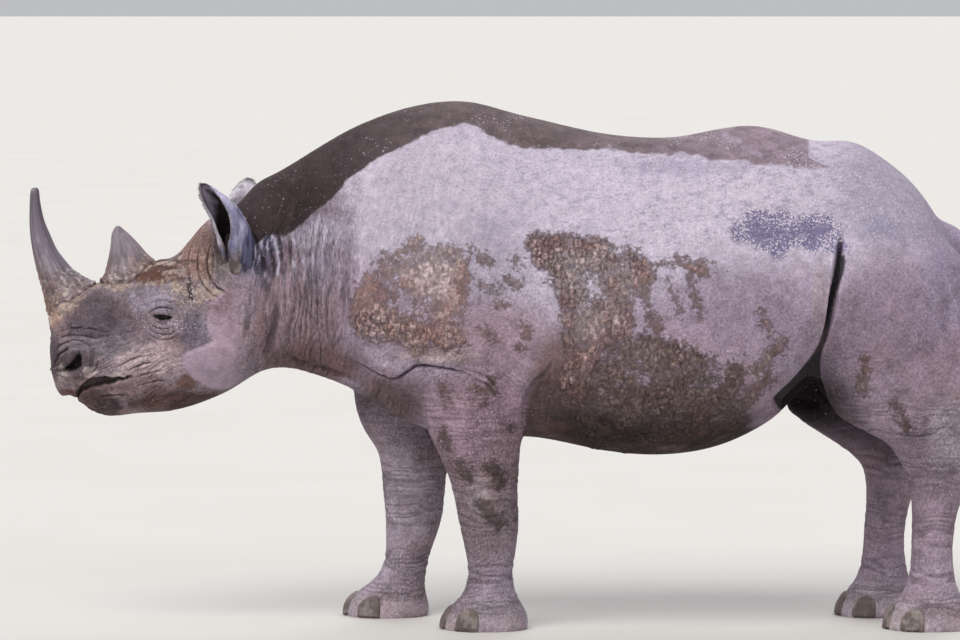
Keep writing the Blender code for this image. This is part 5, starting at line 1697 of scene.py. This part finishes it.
def ear_fringe(name, chance):
    """Short hairs along the rim of an ear."""
    rings, facts = ear_surface(name)
    points = np.array(rings).reshape(-1, 3)
    t, share, within = facts.T
    rim = np.flatnonzero((np.minimum(share, 1 - share) < 0.02) & (t > 0.36) & (within < 0.5))
    root_point, tip_point, opening = EARS[name]
    axis = np.array((tip_point - root_point).normalized())
    front = np.array(opening.normalized())
    roots, ways, lengths = [], [], []
    for k in chance.choice(rim, EAR_HAIRS):
        middle = np.array(root_point.lerp(tip_point, float(t[k])))
        out = points[k] - middle
        out = out / np.linalg.norm(out)
        way = 0.75 * out + 0.55 * axis + 0.25 * front + chance.normal(0, 0.16, 3)
        roots.append(tuple(points[k] - 0.002 * out + chance.normal(0, 0.0012, 3)))
        ways.append(tuple(way))
        lengths.append((0.004 + 0.004 * ramp(t[k], 0.4, 0.95)) * chance.uniform(0.6, 1.2))
    return roots, ways, lengths


def lashes(name, chance):
    """Lashes on the upper lid, long and drooping, and a few on the lower."""
    side = SIDE[name]
    roots, ways, lengths = [], [], []
    for k in range(LASHES):
        u = chance.uniform(-0.026, 0.026)
        if k % 3:
            v, lift, length = 0.0056 * float(bell(u / 0.034)) ** 0.7, -0.1, 0.016
        else:
            v, lift, length = -0.0105 * float(bell(u / 0.031)) ** 0.7 - 0.001, -0.35, 0.009
        out = math.sqrt((EYE_RADIUS + 0.0026) ** 2 - u * u - v * v)
        roots.append((EYE.x + u, side * (EYE.y + out), EYE.z + v - 0.1 * u))
        ways.append((u * 12 - 0.1, side, lift + chance.normal(0, 0.12)))
        lengths.append(length * chance.uniform(0.6, 1.1))
    return roots, ways, lengths


# ---------------------------------------------------------------- materials
class Value:
    """An output of a material's nodes; adding, taking away and multiplying make Math nodes."""

    def __init__(self, nodes, socket):
        self.nodes, self.socket = nodes, socket

    def __add__(self, other):
        return self.nodes.math("ADD", self, other)

    def __sub__(self, other):
        return self.nodes.math("SUBTRACT", self, other)

    def __mul__(self, other):
        return self.nodes.math("MULTIPLY", self, other)


class Nodes:
    """A material's nodes, made and linked by short calls."""

    def __init__(self, name):
        self.material = bpy.data.materials.new(name)
        self.material.use_nodes = True
        self.tree = self.material.node_tree
        self.shader = self.tree.nodes["Principled BSDF"]
        self.place = self.made("ShaderNodeTexCoord", "Object")

    def made(self, kind, output, inputs=(), **settings):
        """The output of a new node, with its settings and inputs."""
        node = self.tree.nodes.new(kind)
        for key, value in settings.items():
            setattr(node, key, value)
        for key, value in dict(inputs).items():
            self.feed(node.inputs[key], value)
        return Value(self, node.outputs[output])

    def feed(self, socket, value):
        if isinstance(value, Value):
            self.tree.links.new(value.socket, socket)
        else:
            socket.default_value = value

    def attribute(self, name, output="Fac"):
        return self.made("ShaderNodeAttribute", output, attribute_name=name)

    def stretched(self, stretch, wander=0.0):
        """The place of a point, moved a little by noise and scaled along each axis."""
        place = self.place
        if wander:
            moved = self.made("ShaderNodeTexNoise", "Color", {"Scale": 0.5 / wander, "Vector": place})
            steps = {0: moved, 1: (wander, wander, wander), 2: place}
            place = self.made("ShaderNodeVectorMath", "Vector", steps, operation="MULTIPLY_ADD")
        if stretch:
            place = self.made("ShaderNodeMapping", "Vector", {"Scale": stretch, "Vector": place})
        return place

    def noise(self, scale, detail=4.0, roughness=0.55, stretch=None):
        values = {"Scale": scale, "Detail": detail, "Roughness": roughness, "Vector": self.stretched(stretch)}
        return self.made("ShaderNodeTexNoise", "Fac", values)

    def cracks(self, scale, width, stretch=None, wander=0.0):
        """Lines between irregular cells: 1 on the line."""
        values = {"Scale": scale, "Vector": self.stretched(stretch, wander)}
        away = self.made("ShaderNodeTexVoronoi", "Distance", values, feature="DISTANCE_TO_EDGE")
        return self.span(away, 0.0, width, 1.0, 0.0)

    def cell_values(self, scale, stretch=None):
        """A value from 0 to 1 that is the same over each irregular cell."""
        values = {"Scale": scale, "Vector": self.stretched(stretch)}
        colour = self.made("ShaderNodeTexVoronoi", "Color", values)
        return self.made("ShaderNodeSeparateColor", "Red", {"Color": colour})

    def span(self, value, low, high, to_low, to_high):
        values = {0: value, 1: low, 2: high, 3: to_low, 4: to_high}
        return self.made("ShaderNodeMapRange", "Result", values, clamp=True)

    def math(self, operation, a, b):
        return self.made("ShaderNodeMath", "Value", {0: a, 1: b}, operation=operation)

    def mix(self, share, a, b):
        """Colour a where the share is 0, b where it is 1. Inputs 6 and 7 and output 2 are for colours."""
        a, b = (value if isinstance(value, Value) else (*value, 1.0) for value in (a, b))
        return self.made("ShaderNodeMix", 2, {0: share, 6: a, 7: b}, data_type="RGBA")

    def blend(self, share, a, b):
        """Number a where the share is 0, b where it is 1. Inputs 2 and 3 and output 0 are for numbers."""
        return self.made("ShaderNodeMix", 0, {0: share, 2: a, 3: b}, data_type="FLOAT")

    def scaled(self, colour, value):
        return self.made("ShaderNodeVectorMath", "Vector", {0: colour, "Scale": value}, operation="SCALE")

    def bump(self, height, distance, strength, **under):
        values = {"Height": height, "Distance": distance, "Strength": strength, **under}
        return self.made("ShaderNodeBump", "Normal", values)

    def finished(self, colour, roughness, normal=None, specular=0.5):
        self.feed(self.shader.inputs["Base Color"], colour)
        self.feed(self.shader.inputs["Roughness"], roughness)
        self.shader.inputs["Specular IOR Level"].default_value = specular
        if normal:
            self.feed(self.shader.inputs["Normal"], normal)
        return self.material


def skin_material():
    n = Nodes("Dusty_Skin")
    wet, mud_field = n.attribute("Wet"), n.attribute("Mud_Field")
    grain = n.noise(240.0, 4.0, 0.7)
    grit = n.noise(125.0, 4.0, 0.72)
    patchy = n.noise(34.0, 6.0, 0.62)

    # Bare skin: gritty, with small cells on the legs, and creases down the neck.
    upright = n.noise(1.0, 5.0, 0.66, stretch=(165.0, 110.0, 42.0))
    texture = n.blend(n.attribute("Neck"), grit, upright)
    rough = (texture - 0.5) * (n.attribute("Grit") * 3.4)
    light = (rough + 1.0) * n.span(grain, 0.3, 0.7, 0.86, 1.14)
    light = light * n.span(patchy, 0.3, 0.7, 0.86, 1.14)
    colour = n.scaled(n.attribute("Skin_Colour", "Color"), n.math("MAXIMUM", light, 0.25))
    pebble = n.cracks(125.0, 0.26, stretch=(1.0, 1.0, 1.25), wander=0.01) * n.attribute("Pebble")
    colour = n.mix(pebble * 0.42, colour, linear(64, 48, 52))

    # Dust: pits and specks in the pale coat, flecks on the bare places.
    pits = n.span(n.noise(75.0, 7.0, 0.74, stretch=(1.0, 1.0, 1.9)), 0.54, 0.6, 0.0, 0.36)
    specks = n.noise(120.0, 2.0, 0.5, stretch=(1.0, 1.0, 1.5)) + n.span(patchy, 0.35, 0.65, 0.05, -0.05)
    pits = n.math("MAXIMUM", pits, n.span(specks, 0.6, 0.64, 0.0, 0.62))
    colour = n.mix(pits * n.attribute("Chalk"), colour, linear(140, 130, 152))
    flake = n.noise(175.0, 2.0, 0.5) + n.attribute("Fleck") * 0.27
    colour = n.mix(n.span(flake, 0.705, 0.745, 0.0, 0.72), colour, linear(206, 197, 208))

    # Mud: porous at its edges, lumpy, and cracked into clods where it lies thick; its lumps carry painted
    # light and shade, and its cracks painted shadow.
    depth = mud_field + (n.noise(62.0, 9.0, 0.78) - 0.5) * 0.15
    mud = n.span(depth, -0.004, 0.026, 0.0, 1.0)
    crackle = n.attribute("Crackle")
    lumps = n.noise(98.0, 4.0, 0.7, stretch=(1.0, 1.0, 0.62))
    clod = n.cell_values(CLODS_PER_METRE, stretch=(1.0, 1.0, 0.72))
    broken = n.span(n.noise(58.0, 5.0, 0.7), 0.44, 0.54, 0.0, 1.0)
    gap = n.cracks(CLODS_PER_METRE, 0.24, stretch=(1.0, 1.0, 0.72), wander=0.016) * broken * crackle
    # Painted light and shade on the mud's lumps, stronger where it is cracked.
    shade = (lumps - 0.5) * (crackle * 3.4 + 1.6) + 1.0
    shade = shade * n.span(clod, 0.0, 1.0, 0.86, 1.12)
    crust = n.scaled(n.attribute("Mud_Colour", "Color"), n.math("MAXIMUM", shade, 0.3))
    # Painted shadow in the cracks between clods.
    colour = n.mix(mud * 0.92, colour, n.mix(gap * 0.75, crust, linear(78, 60, 58)))

    roughness = n.span(grain, 0.2, 0.8, 0.8, 0.95) - wet * 0.5
    height = texture * n.attribute("Grit") * 1.6 + grain * 0.4
    small = n.bump(height - pebble * 0.8, 0.003, 0.9)
    clods = lumps * 2.4 + clod * 0.25 - gap
    thick = n.span(depth, 0.002, 0.03, 0.0, 1.0)
    return n.finished(colour, roughness, n.bump(clods * thick, 0.006, 0.9, Normal=small), specular=0.25)


def horn_material(name, roughness):
    n = Nodes(name)
    fibre = n.noise(70.0, 6.0, 0.7, stretch=(6.0, 6.0, 0.6))
    grain = n.noise(260.0, 4.0, 0.6)
    light = n.span(fibre, 0.3, 0.7, 0.84, 1.14) * n.span(grain, 0.3, 0.7, 0.92, 1.08)
    colour = n.scaled(n.attribute("Horn_Colour", "Color"), light)
    gloss = n.span(grain, 0.2, 0.8, roughness - 0.08, roughness + 0.12)
    return n.finished(colour, gloss, n.bump(fibre + grain * 0.4, 0.0012, 0.7))


IRIS_EDGE, PUPIL_EDGE = 35.0, 14.0  # degrees from the eye's axis


def eye_material():
    """A dark iris and pupil, by the angle from the eye's axis in degrees, and a dark white."""
    n = Nodes("Dark_Eye")
    angle = n.attribute("Iris")
    streaks = n.noise(420.0, 3.0, 0.6)
    iris = n.mix(n.span(streaks, 0.35, 0.65, 0.0, 1.0), linear(12, 7, 5), linear(26, 15, 11))
    white = n.mix(n.noise(160.0), linear(18, 12, 11), linear(32, 23, 21))
    colour = n.mix(n.span(angle, IRIS_EDGE - 2, IRIS_EDGE + 2, 0.0, 1.0), iris, white)
    colour = n.mix(n.span(angle, PUPIL_EDGE - 1, PUPIL_EDGE + 1, 1.0, 0.0), colour, linear(6, 5, 5))
    gloss = n.span(streaks, 0.3, 0.7, 0.1, 0.16)
    return n.finished(colour, gloss, n.bump(streaks, 0.0001, 0.3), specular=0.12)


def hair_material(name, dark, pale):
    n = Nodes(name)
    strands = n.noise(90.0, 3.0, 0.6, stretch=(3.0, 3.0, 0.5))
    colour = n.mix(n.span(strands, 0.4, 0.65, 0.0, 1.0), dark, pale)
    return n.finished(colour, n.span(strands, 0.3, 0.7, 0.48, 0.66), n.bump(strands, 0.0004, 0.5))


def floor_material():
    n = Nodes("Pale_Floor")
    colour = n.mix(n.noise(0.9, 3.0, 0.5), (0.6, 0.585, 0.56), (0.66, 0.645, 0.62))
    return n.finished(colour, 0.95, specular=0.15)


# ---------------------------------------------------------------- stage
EYE_HEIGHT = 1.875  # of the camera, over the floor
DISTANCE = 16.0
VIEW_X = -0.1085  # the camera looks straight across the animal here
PITCH = 3.391  # degrees down
LENS = 196.2  # millimetres
SENSOR = 36.0
SOFTNESS = 42.0  # degrees across each light in the sky
SKY, SKY_STRENGTH = (0.93, 0.94, 0.98, 1.0), 0.55
FLOOR_REACH = 1500.0
# Lights far away: direction they come from, strength and colour.
LIGHTS = {
    "Key": ((-4.0, -6.5, 9.0), 2.05, (1.0, 0.97, 0.92)),
    "Fill": ((5.5, -8.0, 4.5), 0.35, (0.97, 0.97, 1.0)),
    "Far": ((1.0, 9.0, 7.5), 1.3, (0.98, 0.98, 1.0)),
}


def make_stage():
    scene = bpy.context.scene
    scene.view_settings.view_transform = "Standard"
    scene.view_settings.look = "None"
    world = bpy.data.worlds.new("Studio")
    world.use_nodes = True
    world.node_tree.nodes["Background"].inputs["Color"].default_value = SKY
    world.node_tree.nodes["Background"].inputs["Strength"].default_value = SKY_STRENGTH
    scene.world = world

    for name, (place, strength, colour) in LIGHTS.items():
        light = bpy.data.lights.new(name, "SUN")
        light.angle, light.energy, light.color = math.radians(SOFTNESS), strength, colour
        obj = add_object(name, light)
        obj.location = place
        obj.rotation_euler = (-Vector(place)).to_track_quat("-Z", "Y").to_euler()

    floor = bpy.data.meshes.new("floor")
    corners = [(x * FLOOR_REACH, y * FLOOR_REACH, 0) for x, y in ((-1, -1), (1, -1), (1, 1), (-1, 1))]
    floor.from_pydata(corners, [], [(0, 1, 2, 3)])
    floor.materials.append(floor_material())
    add_object("floor", floor)

    camera = bpy.data.cameras.new("Camera")
    camera.lens, camera.sensor_width = LENS, SENSOR
    camera.clip_start, camera.clip_end = 0.5, 4000.0
    obj = add_object("Camera", camera)
    obj.location = (VIEW_X, -DISTANCE, EYE_HEIGHT)
    obj.rotation_euler = (math.radians(90.0 - PITCH), 0.0, 0.0)
    scene.camera = obj


# ---------------------------------------------------------------- the whole animal
def pebble_weights(points):
    """Where the skin has fine raised cells: on the legs and the fore part of the trunk."""
    weight = 0.3 * np.ones(len(points))
    for name in LEG_LINES:
        weight = np.maximum(weight, (0.9 if name.startswith("fore") else 0.7) * leg_share(points, name))
    shoulder = bell(np.hypot((points[:, 0] + 0.15) / 0.45, (points[:, 2] - 0.78) / 0.35))
    weight = np.maximum(weight, 0.7 * shoulder)
    smooth_cheek = bell(np.hypot((points[:, 0] + 0.88) / 0.16, (points[:, 2] - 0.88) / 0.15))
    weight *= 1 - 0.9 * smooth_cheek
    weight *= 0.35 + 0.65 * ramp(layers(points, 0.12, 1600, 2), -0.4, 0.3)
    return weight * ramp(points[:, 2], 0.02, 0.06)


def make_skin(sheet):
    mesh = rough_flesh(VOXEL)
    mesh = refined(mesh, near_face)
    mesh = refined(mesh, near_eye)
    mesh = with_modifiers(mesh, ONE_LEVEL)
    relief = Relief(mesh)
    smooth_normals = mean_places(relief.normals, relief.edges, 12)
    base = relief.points.copy()

    press_horn_collars(relief)
    press_folds(relief)
    press_mouth(relief)
    hole = press_nostrils(relief)
    relief.press()
    press_legs(relief)
    relief.pebbles(pebble_weights(relief.points), PEBBLE_SIZE, PEBBLE_DEPTH, 1610)
    relief.press()
    mud = lay_mud(relief)
    still = (relief.points[:, 2] < 0.012) & (base[:, 2] < 0.012)
    relief.rise[still] = 0
    relief.press()
    wet = press_eyelids(relief)
    points = relief.points
    points[:, 2] = np.maximum(points[:, 2], 0.0)
    sole = base[:, 2] < 0.002
    points[sole, 2] = 0.0
    set_points(mesh, points)

    give_attributes(mesh, **paint(relief, mud, wet, hole))
    groups = np.zeros(len(points), np.int32)
    for k, name in enumerate(LEG_LINES):
        groups[leg_share(base, name) > 0.5] = 1 + k
    unwrap(mesh, groups, smooth_normals, sheet)
    return mesh


def add_piece(name, mesh, finish, nodes=()):
    mesh.transform(Matrix.Translation((-CENTRE_X, 0, 0)))
    mesh.materials.clear()
    mesh.materials.append(finish)
    obj = add_object(name, mesh)
    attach(obj, "root")
    if nodes:
        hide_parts(*nodes)
    return obj


def main():
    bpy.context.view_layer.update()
    sheet = Sheet()
    skin_finish = skin_material()
    mesh = make_skin(sheet)
    mesh.shade_smooth()
    skin = add_object("skin_working", mesh)
    others = []
    for name in SIDE:
        ear = make_ear(name, sheet)
        ear.shade_smooth()
        others.append(add_object("ear_working_" + name, ear))
    for obj in bpy.context.scene.objects:
        obj.select_set(obj in (skin, *others))
    bpy.context.view_layer.objects.active = skin
    bpy.ops.object.join()
    mesh = skin.data.copy()
    bpy.data.objects.remove(skin)
    flesh = ["head", "neck", "trunk", "tail", "ear_left", "ear_right", *LEG_LINES]
    add_piece("skin", mesh, skin_finish, flesh)

    eye_finish = eye_material()
    for name in SIDE:
        add_piece("eyeball_" + name, make_eye(name), eye_finish, ["eye_" + name])
    horn_finish = horn_material("Worn_Horn", 0.62)
    for name, (stations, rings, seed) in HORNS.items():
        add_piece(name + "_worn", make_horn(name, stations, rings, seed), horn_finish, [name])
    hoof_finish = horn_material("Worn_Hoof", 0.7)
    for leg in LEG_LINES:
        for kind in HOOVES:
            node = f"hoof_{leg}_{kind}"
            add_piece(node + "_worn", make_hoof(leg, kind), hoof_finish, [node])

    chance = np.random.default_rng(77)
    bristle = hair_material("Bristles", linear(22, 18, 18), linear(58, 48, 46))
    roots, ways, lengths, outwards = tail_tuft(chance)
    way = directions_of(outwards)
    home = np.zeros((len(roots), 2))
    for d in np.unique(way):
        home[way == d] = sheet.place(np.array(roots)[way == d], 0, d)
    hairs = make_hairs("tail_bristles", roots, ways, lengths, *TAIL_HAIR, home)
    add_piece("tail_bristles", hairs, bristle)
    for name, side in SIDE.items():
        roots, ways, lengths = ear_fringe(name, chance)
        home = sheet.place(np.array(roots), EAR_GROUP[name], 4 if side < 0 else 1)
        hairs = make_hairs("ear_fringe_" + name, roots, ways, lengths, *EAR_HAIR, home)
        add_piece("ear_fringe_" + name, hairs, bristle)
        roots, ways, lengths = lashes(name, chance)
        home = sheet.place(np.array(roots), 0, 4 if side < 0 else 1)
        hairs = make_hairs("lashes_" + name, roots, ways, lengths, *LASH, home)
        add_piece("lashes_" + name, hairs, bristle)

    make_stage()


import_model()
main()
